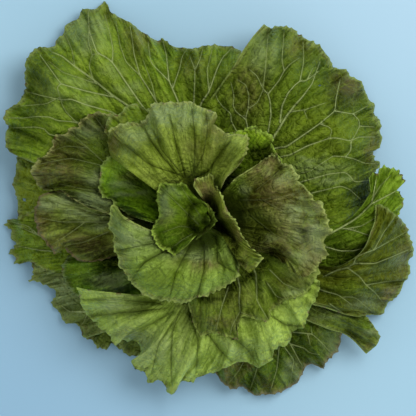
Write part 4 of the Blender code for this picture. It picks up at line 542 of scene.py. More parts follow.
def patches(p, spots, seed):
    """How much of each kind of listed patch is here, with uneven borders."""
    out = {k: np.zeros(p.shape[:-1]) for k in "bpdgv"}
    q = p + 9.0 * (np.stack([noise(p, 9, seed + 61), noise(p, 9, seed + 62)], -1) - 0.5)
    for kind, x, y, rx, ry, much in spots:
        d = ((q[..., 0] - x) / rx) ** 2 + ((q[..., 1] - y) / ry) ** 2
        out[kind] = np.maximum(out[kind], much * np.exp(-(d ** 1.3) * 0.8))
    return out


def rows_of(m):
    """Places of the rows along a leaf, closer together towards the margin."""
    x = np.linspace(0, 1, m + 1)
    return np.clip(1.35 * x - 0.35 * x ** 2.6, 0, 1)


def fine_layout(leaf, base, look):
    """Plan places of a leaf's fine grid, with its margin as toothed as it grew."""
    n, m = look["size"]
    coarse = dict(leaf, grid=(44, 40))
    rim = curve(leaf["rim"], n, 0.0)
    run = np.hypot(*np.diff(rim, axis=0).T).sum()
    calm = soften(rim, 6.5 * n / run)
    coarse["rim"] = [tuple(x) for x in calm[np.linspace(0, n, 61).astype(int)]]
    p = lay_out(coarse, base)
    t = rows_of(m)
    wide = np.empty((45, m + 1, 2))
    for k in range(45):
        for d in (0, 1):
            wide[k, :, d] = np.interp(t, np.linspace(0, 1, 41), p[k, :, d])
    out = np.empty((n + 1, m + 1, 2))
    knots, at = np.linspace(0, 1, 45), np.linspace(0, 1, n + 1)
    for j in range(m + 1):
        for d in (0, 1):
            out[:, j, d] = through(knots, wide[:, j, d], at)
    # small pointed teeth, uneven in size and spacing
    arc = np.linspace(0, run, n + 1)
    along = np.gradient(rim, axis=0)
    along /= np.maximum(np.hypot(*along.T), 1e-6)[:, None]
    outward = np.stack([along[:, 1], -along[:, 0]], 1)
    line = np.stack([arc, 0 * arc], 1)
    beat = arc / look["beat"] + 1.6 * noise(line, 15, look["seed"] + 2)
    which = np.floor(beat).astype(np.int64)
    peak = 0.35 + 0.3 * dice(which, 0 * which, look["seed"] + 40)
    f = beat - which
    spike = np.where(f < peak, f / peak, (1 - f) / (1 - peak)) ** 1.6 * dice(which, 0 * which, look["seed"] + 41)
    ends = smooth(arc / 14) * smooth((run - arc) / 14)
    look["_teeth"] = spike * ends
    goal = rim + outward * ((2.6 * spike - 0.7 + 0.8 * (noise(line, 2.6, look["seed"] + 5) - 0.5)) * look["teeth"] * ends)[:, None]
    out += (smooth((t - 0.80) / 0.20) ** 1.4)[None, :, None] * (goal - out[:, -1])[:, None]
    return out, arc, run


def lay_fine(leaf, base, look, pile):
    """Lays a leaf with all its detail on the pile. Returns plan places, upper and lower heights in mm, and its painted values."""
    n, m = look["size"]
    # how high it starts: the coarse leaf finds that out
    _, top, under = rest(leaf, base, pile, 3)
    start = max(base, min(float(under[:, 0].mean()), STEM_HEIGHT * 1000 - 1))
    p, arc, run = fine_layout(leaf, start, look)
    s, t = np.meshgrid(np.linspace(0, 1, n + 1), rows_of(m), indexing="ij")
    z = design(leaf, base, s, t)
    if leaf.get("touches"):
        z = z - (z - depth(s, t))[:, m // 2:].min() * smooth((t - 0.45) / 0.55)
    loose = blur(most(pile, 3), 3.0)
    need = loose[cells(p)]
    z = np.maximum(z, np.where(need > 0.5, need + depth(s, t) + LOOSE, 0))
    z[:, 0] = np.maximum(z[:, 0], start + BLADE)

    # veins, bulges between them, pleats along the leaf and puckers
    seed = look["seed"]
    veins, far, signed, width = near_veins(p, look["veins"])
    rib = np.exp(-(((s - 0.5) / (0.03 + 0.10 * (1 - t) ** 2)) ** 2)) * np.clip(1.0 - t / 0.6, 0, 1) ** 0.7
    out_t = smooth((t - 0.12) / 0.3)
    length = np.hypot(*np.diff(p, axis=1).transpose(2, 0, 1)).sum(1).mean()
    fan = np.broadcast_to(arc[:, None], p.shape[:2]) + 0 * t
    line = length * t
    puff = smooth(far / 8.0) * (0.45 + 1.1 * noise(p, 17, seed + 7))
    mm, count = look["pleat"]
    wide = run / count
    along_leaf = np.stack([fan + wide * (noise(p, 22, seed + 12) - 0.5), line * 0.28], -1)
    pleats = 2 * np.abs(noise(along_leaf, wide * 0.8, seed + 8) - 0.5)
    pleats = 1 - pleats ** 0.8
    stretch = np.stack([fan, line * 0.45], -1)
    blister = net(stretch, look["net"] * 0.8, seed)
    blister = smooth(blister * 1.3) * smooth(2.2 * noise(p, 15, seed + 9) - 0.4)
    calm = 0.6 + 0.4 * smooth((0.97 - t) / 0.1)
    z = z + 1.3 * look["bul"] * (puff - 0.5) * out_t * (1 - 0.6 * smooth((t - 0.85) / 0.15))
    z = z + 1.8 * mm * (pleats - 0.5) * (1 - 0.5 * veins) * out_t * calm
    z = z + 1.5 * look["pucker"] * (blister - 0.4) * (1 - veins) * out_t
    z = z - (0.6 if look["tone"] == "dark" else 0.3) * veins * out_t
    z = z + 3.6 * (noise(p, 23, seed + 21) - 0.5) * smooth((t - 0.3) / 0.4)

    # frills, less where the leaf hangs steeply
    mm_t = np.maximum(np.hypot(*np.gradient(p, axis=1).transpose(2, 0, 1)) * PLAN_UNIT * 1000, 0.25)
    steep = np.abs(np.gradient(z, axis=1)) / mm_t
    steep = np.minimum(steep, 2.5)
    for _ in range(6):
        steep[1:-1] = (steep[:-2] + steep[2:] + 2 * steep[1:-1]) / 4
    ease = 1 / np.sqrt(1 + (0.8 * steep) ** 2)
    edge_line = np.stack([fan, 12 * t], -1)
    phase = 2 * math.pi * (arc[:, None] / look["wave"] + 1.5 * noise(edge_line, look["wave"] * 1.8, seed + 30))
    size = look["frill"] * (0.25 + 1.2 * noise(edge_line, look["wave"] * 2.6, seed + 31)) * ease
    from_edge = (1 - t) * length
    lip = np.exp(-from_edge / 5.5)
    tight = noise(edge_line, look["wave"] * 1.5, seed + 33)
    z = z + size * np.sin(phase) * np.maximum(lip, 0.6 * smooth((t - 0.76) / 0.24) ** 1.3)
    z = z + 0.5 * look["teeth"] * look["_teeth"][:, None] * ease * np.exp(-from_edge / 2.4)
    z = z + 0.55 * look["frill"] * ease * smooth(2.4 * tight - 0.7) * np.sin(2.7 * phase + 1.0) * np.exp(-from_edge / 3.2)

    thick = depth(s, t) - BLADE + 0.55 + 0.25 * veins + 0.7 * rib * (1 - t)
    thick = thick * np.minimum(np.sqrt(1 + steep ** 2), 2.2)

    near = most(pile, 1)
    total = np.zeros_like(z)
    for _ in range(8):
        places, tops = samples(p, z + total, 2)
        _, thicks = samples(p, thick, 2)
        lack = np.full((n, m), -1e9)
        for place, high, th in zip(places, tops, thicks):
            j, i = cells(place)
            floor = np.where(near[j, i] > 0, near[j, i] + 0.35, 0.0)
            r = np.hypot(place[..., 0] - STEM_PLAN[0], place[..., 1] - STEM_PLAN[1]) - STEM_CLEARANCE * 0.8 / PLAN_UNIT
            floor = np.maximum(floor, np.where(r < stem_radius(0), stem_height(r), 0))
            lack = np.maximum(lack, (floor - (high - th)).max(-1))
        if lack.max() < 1e-3:
            break
        total = total + corners_up(z.shape, np.maximum(lack, 0) * 1.02)
        wide = total.copy()
        for _ in range(6):
            q = np.pad(wide, 1, mode="edge")
            wide = np.maximum(total, (q[:-2, 1:-1] + q[2:, 1:-1] + q[1:-1, :-2] + q[1:-1, 2:] + 2 * wide) / 6)
        total = wide
    z = z + total
    under = np.maximum(z - thick, 0.0)
    z = np.maximum(z, under + 0.5)

    # painted values
    away = np.zeros_like(z)
    step = np.hypot(*np.diff(p, axis=1).transpose(2, 0, 1))
    away[:, :-1] = np.cumsum(step[:, ::-1], axis=1)[:, ::-1]
    sides = np.minimum(s, 1 - s) * np.hypot(*np.diff(p, axis=0).transpose(2, 0, 1)).sum(0)[None, :] + 0.3
    away = np.minimum(away, np.where(t > 0.35, sides + 14 * smooth((0.6 - t) / 0.25), away))
    netline = np.exp(-((net(p, look["net"] * 1.3, seed + 70) / 0.10) ** 2)) * smooth(far / 3.0)
    first, last = look["plain"]
    away = away + 12 * smooth((s - first) / 0.04) * smooth((last - s) / 0.04)
    kinds = patches(p, look["spots"], seed)
    # painted shade: the d patches, and darker towards the leaf's base over the span given by shade
    low, high = look["shade"]
    kinds["d"] = np.maximum(kinds["d"], smooth((high - t) / (high - low)))
    painted = dict(vein=np.clip(veins, 0, 1), rib=np.clip(rib, 0, 1), net=np.clip(netline, 0, 1) * out_t, away=away, along=t,
                   lump=np.clip(0.45 * puff + 0.35 * pleats + 0.5 * blister, 0, 1.3), fan=fan, line=line,
                   signed=signed, width=width, tooth=np.broadcast_to(look["_teeth"][:, None], z.shape) + 0 * z, **kinds)
    return p, z, under, painted


def plain_material(name):
    mat = bpy.data.materials.new(name)
    mat.use_nodes = True
    mat.node_tree.nodes.clear()
    return mat, mat.node_tree.nodes, mat.node_tree.links


class Nodes:
    """Short hands for building a material."""

    def __init__(self, name):
        self.mat, self.nodes, self.links = plain_material(name)
        self.shader = self.nodes.new("ShaderNodeBsdfPrincipled")
        out = self.nodes.new("ShaderNodeOutputMaterial")
        self.links.new(self.shader.outputs[0], out.inputs["Surface"])
        self.where = self.nodes.new("ShaderNodeTexCoord").outputs["Object"]

    def put(self, socket, value):
        if isinstance(value, bpy.types.NodeSocket):
            self.links.new(value, socket)
        else:
            socket.default_value = value

    def attribute(self, name):
        node = self.nodes.new("ShaderNodeAttribute")
        node.attribute_name = name
        return node.outputs["Fac"]

    def noise(self, scale, detail=2.0, rough=0.55, warp=0.0):
        node = self.nodes.new("ShaderNodeTexNoise")
        self.links.new(self.where, node.inputs["Vector"])
        node.inputs["Scale"].default_value = scale
        node.inputs["Detail"].default_value = detail
        node.inputs["Roughness"].default_value = rough
        node.inputs["Distortion"].default_value = warp
        return node.outputs["Fac"]

    def streak(self, across, down, seed, detail=2.0):
        """Noise drawn out along the leaf. Sizes in plan units."""
        pack = self.nodes.new("ShaderNodeCombineXYZ")
        self.put(pack.inputs[0], self.math("MULTIPLY", self.attribute("fan"), 1.0 / across))
        self.put(pack.inputs[1], self.math("MULTIPLY", self.attribute("line"), 1.0 / down))
        pack.inputs[2].default_value = seed * 7.3
        node = self.nodes.new("ShaderNodeTexNoise")
        self.links.new(pack.outputs[0], node.inputs["Vector"])
        node.inputs["Scale"].default_value = 1.0
        node.inputs["Detail"].default_value = detail
        node.inputs["Roughness"].default_value = 0.6
        node.inputs["Distortion"].default_value = 0.3
        return node.outputs["Fac"]

    def cells(self, scale, feature="DISTANCE_TO_EDGE"):
        warp = self.nodes.new("ShaderNodeTexNoise")
        self.links.new(self.where, warp.inputs["Vector"])
        warp.inputs["Scale"].default_value = scale * 0.6
        warp.inputs["Detail"].default_value = 1.0
        mix = self.nodes.new("ShaderNodeVectorMath")
        mix.operation = "MULTIPLY_ADD"
        self.links.new(warp.outputs["Color"], mix.inputs[0])
        mix.inputs[1].default_value = (0.9 / scale,) * 3
        self.links.new(self.where, mix.inputs[2])
        node = self.nodes.new("ShaderNodeTexVoronoi")
        node.feature = feature
        self.links.new(mix.outputs[0], node.inputs["Vector"])
        node.inputs["Scale"].default_value = scale
        return node.outputs["Distance"]

    def math(self, kind, a, b=0.0, c=None, clamp=False):
        node = self.nodes.new("ShaderNodeMath")
        node.operation = kind
        node.use_clamp = clamp
        self.put(node.inputs[0], a)
        self.put(node.inputs[1], b)
        if c is not None:
            self.put(node.inputs[2], c)
        return node.outputs[0]

    def ramp(self, value, low, high, a=0.0, b=1.0):
        node = self.nodes.new("ShaderNodeMapRange")
        node.interpolation_type = "SMOOTHSTEP"
        self.put(node.inputs[0], value)
        for k, v in zip((1, 2, 3, 4), (low, high, a, b)):
            node.inputs[k].default_value = v
        return node.outputs[0]

    def mix(self, f, a, b):
        node = self.nodes.new("ShaderNodeMix")
        node.data_type = "RGBA"
        self.put(node.inputs[0], f)
        for socket, value in ((node.inputs[6], a), (node.inputs[7], b)):
            if isinstance(value, bpy.types.NodeSocket):
                self.links.new(value, socket)
            else:
                socket.default_value = (*value, 1)
        return node.outputs[2]

    def bump(self, height, strength, distance, normal=None):
        node = self.nodes.new("ShaderNodeBump")
        node.inputs["Strength"].default_value = strength
        node.inputs["Distance"].default_value = distance
        self.links.new(height, node.inputs["Height"])
        if normal is not None:
            self.links.new(normal, node.inputs["Normal"])
        return node.outputs[0]


BRONZE = (0.060, 0.042, 0.006)
BRONZE_LIGHT = (0.165, 0.125, 0.050)
SHEEN_TINT = (0.92, 1.0, 0.36, 1.0)


def leaf_material(name, look):
    g = Nodes(name)
    gain = look["gain"]
    tint = lambda c, f=1.0: tuple(min(1.0, a * b * f) for a, b in zip(c, (gain[0], gain[1], gain[2] * 0.8)))
    deep, mid, light = tint(look["deep"]), tint(look["mid"]), tint(look["light"])
    vein, rib, netv = g.attribute("vein"), g.attribute("rib"), g.attribute("net")
    away, along, lump, under = g.attribute("away"), g.attribute("along"), g.attribute("lump"), g.attribute("under")
    sb, sp, painted_shade_spots, painted_sheen_spots, sv = (g.attribute(k) for k in "bpdgv")
    off, width, tooth = g.math("ABSOLUTE", g.attribute("signed")), g.attribute("width"), g.attribute("tooth")
    half = g.math("MULTIPLY_ADD", width, 0.155, 0.13)
    crisp = g.ramp(g.math("DIVIDE", off, half), 0.75, 2.3, 1.0, 0.0)
    crisp = g.math("MULTIPLY", crisp, g.ramp(vein, 0.10, 0.40))
    crisp = g.math("MULTIPLY", crisp, g.ramp(width, 0.5, 2.0, 0.55, 1.0))
    seed = look["seed"]
    patch = g.noise(36, 3, 0.6, 0.4)
    grain = g.noise(420, 3, 0.65)
    hair = g.streak(1.7, 11.0, seed, 3.0)
    broad = g.streak(6.0, 30.0, seed + 3, 2.0)
    fine = g.cells(430)
    shade = g.math("ADD", g.math("MULTIPLY", patch, 0.5), g.math("MULTIPLY", broad, 0.5))
    colour = g.mix(g.ramp(shade, 0.36, 0.62), deep, mid)
    # painted highlight: lighter on the raised blisters and pleats
    tops = g.math("MULTIPLY", g.ramp(lump, 0.35, 1.1), g.ramp(broad, 0.3, 0.7, 0.3, 1.0), clamp=True)
    colour = g.mix(g.math("MULTIPLY", tops, 0.55), colour, light)
    colour = g.mix(g.ramp(hair, 0.42, 0.72, 0.0, 0.42 * look["hair"]), colour, light)
    colour = g.mix(g.ramp(hair, 0.30, 0.46, 0.42 * look["hair"], 0.0), colour, tint(look["deep"], 0.7))
    colour = g.mix(g.ramp(grain, 0.52, 0.72, 0.0, 0.30), colour, light)
    colour = g.mix(g.ramp(grain, 0.30, 0.48, 0.34, 0.0), colour, tint(look["deep"], 0.6))
    mottle = g.noise(165, 3, 0.7)
    blotch = g.noise(88, 4, 0.62)
    colour = g.mix(g.ramp(mottle, 0.52, 0.75, 0.0, 0.35), colour, light)
    colour = g.mix(g.ramp(mottle, 0.28, 0.47, 0.38, 0.0), colour, tint(look["deep"], 0.7))
    colour = g.mix(g.math("MULTIPLY", sp, g.ramp(broad, 0.25, 0.65, 0.35, 0.85)), colour, light)
    # painted shade: darker in the low creases between blisters and pleats
    colour = g.mix(g.ramp(lump, 0.12, 0.52, 0.72, 0.0), colour, tint(look["deep"], 0.5))
    # bronze tinge: clouds, patches and the margin
    cloud = g.noise(24, 4, 0.62, 0.8)
    share = look["bronze"]
    tinge = g.ramp(cloud, 0.76 - 0.42 * share, 0.97 - 0.45 * share, 0.0, min(0.80, 0.20 + share))
    tinge = g.math("MULTIPLY", tinge, g.ramp(along, 0.35, 0.8, 0.2, 1.0))
    tinge = g.math("MAXIMUM", tinge, g.math("MULTIPLY", sb, g.ramp(hair, 0.25, 0.6, 0.55, 1.0)))
    reach = g.noise(62, 3, 0.6)
    rimmed = g.math("MULTIPLY", g.ramp(away, 0.6, 7.0, 1.0, 0.0), look["edge"])
    rimmed = g.math("MULTIPLY", rimmed, g.ramp(reach, 0.38, 0.60))
    tinge = g.math("MAXIMUM", tinge, rimmed)
    # lit: raised parts and uneven tone; where it is high the bronze is lighter, partly its own tone, partly a painted
    # highlight on the raised parts
    lit = g.math("ADD", g.math("MULTIPLY", lump, 0.7), g.math("ADD", g.math("MULTIPLY", hair, 0.3), g.math("MULTIPLY", blotch, 0.9)))
    bronze = g.mix(g.ramp(lit, 0.78, 1.30), BRONZE, BRONZE_LIGHT)
    colour = g.mix(tinge, colour, bronze)
    colour = g.mix(g.math("MULTIPLY", sv, g.ramp(shade, 0.3, 0.6, 0.6, 0.95)), colour, g.mix(g.ramp(hair, 0.3, 0.65), (0.055, 0.105, 0.002), (0.120, 0.200, 0.008)))
    # painted grey sheen, stronger on the raised parts
    painted_sheen = g.math("MULTIPLY", painted_sheen_spots, g.ramp(lit, 0.70, 1.15, 0.30, 1.0))
    colour = g.mix(g.math("MULTIPLY", painted_sheen, 0.82), colour, (0.240, 0.305, 0.135))
    # painted shade: near black in the d patches, the head's gaps and hollows
    colour = g.mix(g.math("MULTIPLY", painted_shade_spots, 0.95), colour, tint(look["deep"], 0.09))
    # veins
    mesh1 = g.ramp(g.cells(150), 0.0, 0.045, 1.0, 0.0)
    mesh2 = g.ramp(fine, 0.0, 0.09, 1.0, 0.0)
    if look["tone"] == "pale":
        colour = g.mix(g.math("MULTIPLY", mesh1, g.ramp(broad, 0.3, 0.65, 0.08, 0.30)), colour, (0.24, 0.33, 0.03))
        colour = g.mix(g.math("MULTIPLY", mesh2, 0.10), colour, (0.24, 0.33, 0.03))
        colour = g.mix(g.math("MULTIPLY", netv, 0.20), colour, (0.26, 0.34, 0.05))
        colour = g.mix(g.math("MULTIPLY", vein, 0.22 * look["vein"]), colour, (0.24, 0.32, 0.06))
        colour = g.mix(g.math("MULTIPLY", crisp, min(1.0, 1.35 * look["vein"])), colour, (0.42, 0.50, 0.20))
    else:
        colour = g.mix(g.math("MULTIPLY", mesh1, 0.20), colour, tint(look["deep"], 0.7))
        colour = g.mix(g.math("MULTIPLY", netv, 0.28), colour, tint(look["deep"], 0.7))
        colour = g.mix(g.math("MULTIPLY", vein, 0.35 * look["vein"]), colour, tint(look["deep"], 0.7))
        colour = g.mix(g.math("MULTIPLY", crisp, min(1.0, 1.3 * look["vein"])), colour, tint(look["deep"], 0.18))
    colour = g.mix(g.math("MULTIPLY", rib, 0.45), colour, (0.24, 0.34, 0.06))
    tips = g.math("MULTIPLY", tooth, g.ramp(away, 1.5, 6.0, 0.9, 0.0))
    colour = g.mix(tips, colour, look["lace"])
    # along the margin: lighter streaks in the margin's own pale colour, and darker streaks between them, painted shade
    # between the ruffles
    ruffle = g.streak(2.3, 40.0, seed + 9, 1.0)
    near = g.ramp(away, 0.8, 6.5, 1.0, 0.0)
    colour = g.mix(g.math("MULTIPLY", near, g.ramp(ruffle, 0.50, 0.64, 0.0, 0.80)), colour, look["lace"])
    colour = g.mix(g.math("MULTIPLY", near, g.ramp(ruffle, 0.34, 0.47, 0.60, 0.0)), colour, tint(look["deep"], 0.5))
    line = g.ramp(away, 0.3, 3.0, 0.95, 0.0)
    lace = g.mix(g.ramp(g.noise(150, 2), 0.58, 0.68), look["lace"], g.mix(g.ramp(reach, 0.4, 0.6), (0.20, 0.15, 0.08), (0.075, 0.035, 0.015)))
    colour = g.mix(line, colour, lace)
    # the lower face is paler and duller
    below = g.mix(g.math("MAXIMUM", vein, rib), g.mix(g.ramp(shade, 0.35, 0.65), (0.085, 0.135, 0.030), (0.130, 0.190, 0.055)), (0.32, 0.39, 0.19))
    colour = g.mix(under, colour, below)
    g.put(g.shader.inputs["Base Color"], colour)
    rough = g.math("ADD", g.ramp(grain, 0.2, 0.8, look["rough"] - 0.06, look["rough"] + 0.12), g.math("MULTIPLY", under, 0.15))
    g.put(g.shader.inputs["Roughness"], rough)
    gloss = g.math("MULTIPLY", g.math("SUBTRACT", 1.0, painted_shade_spots), g.math("ADD", g.math("MULTIPLY", painted_sheen_spots, 0.22), g.ramp(lump, 0.1, 0.7, 0.10 * look["gloss"], 0.36 * look["gloss"])))
    g.put(g.shader.inputs["Specular IOR Level"], gloss)
    g.shader.inputs["Specular Tint"].default_value = SHEEN_TINT
    cushions = g.math("ADD", g.math("MULTIPLY", g.ramp(g.cells(150), 0.0, 0.3), 0.8), g.math("MULTIPLY", g.ramp(fine, 0.0, 0.25), 0.3))
    cushions = g.math("ADD", cushions, g.math("MULTIPLY", crisp, 1.0 if look["tone"] == "pale" else -1.2))
    relief = g.math("ADD", cushions, g.math("ADD", g.math("MULTIPLY", grain, 0.35), g.math("MULTIPLY_ADD", blotch, 1.6, g.math("MULTIPLY", hair, 0.8))))
    g.put(g.shader.inputs["Normal"], g.bump(relief, 1.0, 0.0012))
    return g.mat


def mesh_leaf(name, p, top, under, painted, mat, holes=()):
    """One closed slab from the upper and lower grids. A hole takes one cell out and walls it in."""
    n, m = p.shape[0] - 1, p.shape[1] - 1
    count = (n + 1) * (m + 1)
    wide = np.pad(under, 1, mode="edge")
    lowest = np.min([wide[i:i + n + 1, j:j + m + 1] for i in (0, 1, 2) for j in (0, 1, 2)], axis=0)
    border = np.ones(under.shape, bool)
    border[1:-1, 1:-1] = False
    low = np.where(border, under, lowest)[::2, ::2]
    verts = np.concatenate([world(p, top).reshape(-1, 3), world(p[::2, ::2], low).reshape(-1, 3)])
    k = np.arange(count).reshape(n + 1, m + 1)
    h = count + np.arange(low.size).reshape(low.shape)
    quads = lambda g: np.stack([g[:-1, :-1].ravel(), g[:-1, 1:].ravel(), g[1:, 1:].ravel(), g[1:, :-1].ravel()], 1)
    # the plan's y runs towards the front, so this order faces up
    upper, lower = quads(k), quads(h)[:, ::-1]
    x, y = verts[upper[:, 1]] - verts[upper[:, 0]], verts[upper[:, 3]] - verts[upper[:, 0]]
    if np.median(x[:, 0] * y[:, 1] - x[:, 1] * y[:, 0]) < 0:
        upper, lower = upper[:, ::-1], lower[:, ::-1]
    taken, taken_low, walls = [], [], []
    for hole in holes:
        # a hole takes out one lower cell and the four upper cells over it
        f = int(np.argmin(np.hypot(*(p[1:-1:2, 1:-1:2].reshape(-1, 2) - hole).T)))
        a, b = divmod(f, m // 2)
        taken_low.append(f)
        for c in (0, 1):
            for d in (0, 1):
                taken.append((2 * a + c) * m + 2 * b + d)
        around = [(0, 0), (0, 1), (0, 2), (1, 2), (2, 2), (2, 1), (2, 0), (1, 0)]
        at = [int(k[2 * a + u, 2 * b + v]) for u, v in around]
        below = [int(h[a + u // 2, b + v // 2]) for u, v in around[::2]]
        walls += [[at[2 * i], at[2 * i + 1], at[(2 * i + 2) % 8], below[(i + 1) % 4], below[i]] for i in range(4)]
    keep, keep_low = np.ones(len(upper), bool), np.ones(len(lower), bool)
    keep[taken], keep_low[taken_low] = False, False
    ring = np.concatenate([k[:, 0], k[-1, 1:], k[-2::-1, -1], k[0, -2:0:-1]])
    ring_low = np.concatenate([h[:, 0], h[-1, 1:], h[-2::-1, -1], h[0, -2:0:-1]])
    after = np.roll(ring, -1)
    side = np.stack([ring[::2], after[::2], np.roll(ring, -2)[::2], np.roll(ring_low, -1), ring_low], 1)
    # a side runs its upper edges the other way from the upper face
    first = (int(side[0, 0]), int(side[0, 1]))
    runs = {(int(u), int(v)) for q in upper[(upper == first[0]).any(1)] for u, v in zip(q, np.roll(q, -1))}
    if first in runs:
        side = side[:, ::-1]
    walls = np.array(walls) if walls else np.zeros((0, 5), int)
    if len(walls):
        gone = {(int(u), int(v)) for q in upper[taken] for u, v in zip(q, np.roll(q, -1))}
        if (int(walls[0][0]), int(walls[0][1])) not in gone:
            walls = walls[:, ::-1]
    fours, fives = np.concatenate([upper[keep], lower[keep_low]]), np.concatenate([side, walls])
    loops = np.concatenate([fours.ravel(), fives.ravel()])
    mesh = bpy.data.meshes.new(name)
    mesh.vertices.add(len(verts))
    mesh.vertices.foreach_set("co", verts.ravel())
    mesh.loops.add(len(loops))
    mesh.loops.foreach_set("vertex_index", loops)
    mesh.polygons.add(len(fours) + len(fives))
    mesh.polygons.foreach_set("loop_start", np.concatenate([np.arange(len(fours)) * 4, 4 * len(fours) + np.arange(len(fives)) * 5]))
    mesh.update(calc_edges=True)
    mesh.validate()
    mesh.polygons.foreach_set("use_smooth", np.ones(len(mesh.polygons), bool))
    for key, value in painted.items():
        layer = mesh.attributes.new(key, "FLOAT", "POINT")
        layer.data.foreach_set("value", np.concatenate([value.ravel(), value[::2, ::2].ravel()]).astype(np.float32))
    layer = mesh.attributes.new("under", "FLOAT", "POINT")
    layer.data.foreach_set("value", np.concatenate([np.zeros(count), np.ones(low.size)]).astype(np.float32))
    mesh.materials.append(mat)
    ob = bpy.data.objects.new(name, mesh)
    bpy.context.scene.collection.objects.link(ob)
    return ob


def stem_piece():
    """The cut stem: leaf scars round its side, a slightly rough flat cut with its ring."""
    sides, rings = 96, 60
    bm = bmesh.new()
    heights = [0.0, 0.0, 0.0, 0.0] + list(np.linspace(0.25, STEM_HEIGHT * 1000 - 0.6, rings)) + [STEM_HEIGHT * 1000 - 0.5] * 3
    shrink = [0.0, 0.35, 0.7, 0.955] + [1.0] * rings + [0.9, 0.5, 0.0]
    rows = []
    for z, f in zip(heights, shrink):
        row = []
        for k in range(sides):
            a = 2 * math.pi * k / sides
            r = float(stem_radius(z)) * f
            if f == 1.0:
                ridge = math.sin(3 * a + z * 0.42) * 0.22 + 0.12 * math.sin(7 * a - z * 0.9)
                r += ridge * min(1.0, z / 4.0) - 0.35 * min(1.0, z / 3.0)
            if f == 0.0 and row:
                row.append(row[0])
                continue
            row.append(bm.verts.new(world(np.array([STEM_PLAN[0] + r * math.cos(a), STEM_PLAN[1] - r * math.sin(a)]), z)))
        rows.append(row)
    for lo, hi in zip(rows[:-1], rows[1:]):
        for k in range(sides):
            q = [lo[k], lo[(k + 1) % sides], hi[(k + 1) % sides], hi[k]]
            q = [v for i, v in enumerate(q) if v not in q[:i]]
            if len(q) > 2:
                bm.faces.new(q)
    bmesh.ops.recalc_face_normals(bm, faces=bm.faces[:])
    mesh = bpy.data.meshes.new("stem_cut")
    bm.to_mesh(mesh)
    bm.free()
    mesh.polygons.foreach_set("use_smooth", np.ones(len(mesh.polygons), bool))
    g = Nodes("stem_flesh")
    sep = g.nodes.new("ShaderNodeSeparateXYZ")
    g.links.new(g.where, sep.inputs[0])
    high = sep.outputs["Z"]
    radius = g.math("POWER", g.math("ADD", g.math("POWER", sep.outputs["X"], 2.0), g.math("POWER", sep.outputs["Y"], 2.0)), 0.5)
    flesh = g.mix(g.ramp(radius, 0.004, 0.0155), (0.55, 0.58, 0.36), (0.66, 0.68, 0.50))
    flesh = g.mix(g.ramp(g.noise(180, 4), 0.45, 0.75, 0.0, 0.5), flesh, (0.46, 0.34, 0.17))
    bark = g.mix(g.ramp(g.noise(120, 3, 0.6, 0.5), 0.35, 0.7), (0.33, 0.42, 0.18), (0.46, 0.54, 0.30))
    bark = g.mix(g.ramp(high, 0.018, 0.046), bark, (0.045, 0.085, 0.008))
    ring = g.mix(g.ramp(radius, 0.0128, 0.0152), flesh, (0.44, 0.36, 0.20))
    g.put(g.shader.inputs["Base Color"], g.mix(g.ramp(high, 0.0001, 0.0012), ring, bark))
    g.put(g.shader.inputs["Roughness"], g.ramp(g.noise(260, 3), 0.3, 0.7, 0.42, 0.62))
    g.put(g.shader.inputs["Normal"], g.bump(g.noise(520, 4), 0.5, 0.0004))
    mesh.materials.append(g.mat)
    ob = bpy.data.objects.new("stem_cut", mesh)
    bpy.context.scene.collection.objects.link(ob)
    return ob


def finish_piece(ob, node):
    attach(ob, "root")
    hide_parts(node)


def grow():
    finish_piece(stem_piece(), "stem")
    pile = np.zeros((SIZE, SIZE))
    for k, leaf in enumerate(LEAVES):
        look = dict(DEFAULT, **LOOK[leaf["name"]])
        base = FIRST_BASE + (LAST_BASE - FIRST_BASE) * k / (len(LEAVES) - 1)
        p, top, under, painted = lay_fine(leaf, base, look, pile)
        for place, high in zip(*samples(p, top, 2)):
            j, i = cells(place)
            np.maximum.at(pile, (j, i), high)
        ob = mesh_leaf(leaf["name"] + "_blade", p, top, under, painted, leaf_material(leaf["name"], look), look.get("holes", ()))
        finish_piece(ob, leaf["name"])


grow()

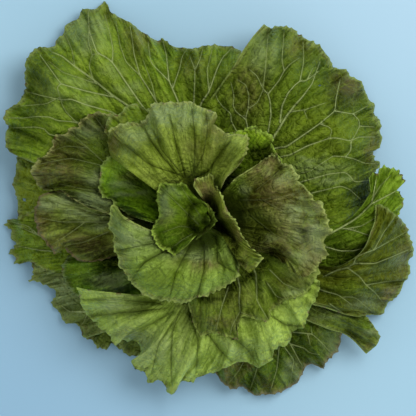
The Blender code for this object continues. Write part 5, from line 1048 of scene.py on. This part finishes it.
# ---- floor, light, camera
bpy.ops.mesh.primitive_plane_add(size=6.0, location=(0, 0, -0.0002))
floor = bpy.context.object
floor.name = "floor"
g = Nodes("floor_pale_painted_light")
pale = g.mix(g.ramp(g.noise(3.0, 2.0, 0.5), 0.3, 0.7), (0.375, 0.600, 0.770), (0.400, 0.635, 0.805))
where, axes = g.nodes.new("ShaderNodeTexCoord"), g.nodes.new("ShaderNodeSeparateXYZ")
g.links.new(where.outputs["Object"], axes.inputs[0])
# painted shade: the floor darker towards the lower left, away from the key lamp; painted light: lighter towards the
# upper right, below it
painted_shade_lower_left = g.ramp(g.math("ADD", axes.outputs[0], axes.outputs[1]), -0.30, 0.0, 1.0, 0.0)
pale = g.mix(painted_shade_lower_left, pale, (0.318, 0.535, 0.735))
g.put(g.shader.inputs["Base Color"], g.mix(g.ramp(g.math("ADD", axes.outputs[0], axes.outputs[1]), 0.05, 0.40), pale, (0.430, 0.630, 0.790)))
g.shader.inputs["Roughness"].default_value = 0.8
g.shader.inputs["Specular IOR Level"].default_value = 0.15
floor.data.materials.append(g.mat)


def lamp(name, place, size, power, colour):
    data = bpy.data.lights.new(name, "AREA")
    data.shape = "DISK"
    data.size = size
    data.energy = power
    data.color = colour
    ob = bpy.data.objects.new(name, data)
    ob.location = place
    ob.rotation_euler = (-Vector(place)).to_track_quat("-Z", "Y").to_euler()
    bpy.context.scene.collection.objects.link(ob)


lamp("key", (0.55, 0.42, 1.05), 0.85, 9.5, (1.0, 0.99, 0.96))

# a pale sky, brighter low down, so that the sloping leaves catch a soft sheen
sky = bpy.data.worlds.new("pale")
sky.use_nodes = True
nodes, links = sky.node_tree.nodes, sky.node_tree.links
coord = nodes.new("ShaderNodeTexCoord")
split = nodes.new("ShaderNodeSeparateXYZ")
links.new(coord.outputs["Generated"], split.inputs[0])
fade = nodes.new("ShaderNodeMapRange")
fade.interpolation_type = "SMOOTHSTEP"
links.new(split.outputs["Z"], fade.inputs[0])
for k, v in ((1, 0.10), (2, 0.95), (3, 1.15), (4, 0.36)):
    fade.inputs[k].default_value = v
back = nodes["Background"]
back.inputs[0].default_value = (0.97, 1.0, 0.98, 1)
links.new(fade.outputs[0], back.inputs[1])
bpy.context.scene.world = sky
bpy.context.scene.view_settings.view_transform = "Standard"

cam = bpy.data.cameras.new("camera")
cam.sensor_width = 36.0
cam.lens = 36.0 * EYE_HEIGHT / (416 * PLAN_UNIT)
camera = bpy.data.objects.new("camera", cam)
camera.location = ((PLAN_MIDDLE - STEM_PLAN[0]) * PLAN_UNIT, (STEM_PLAN[1] - PLAN_MIDDLE) * PLAN_UNIT, EYE_HEIGHT)
bpy.context.scene.collection.objects.link(camera)
bpy.context.scene.camera = camera
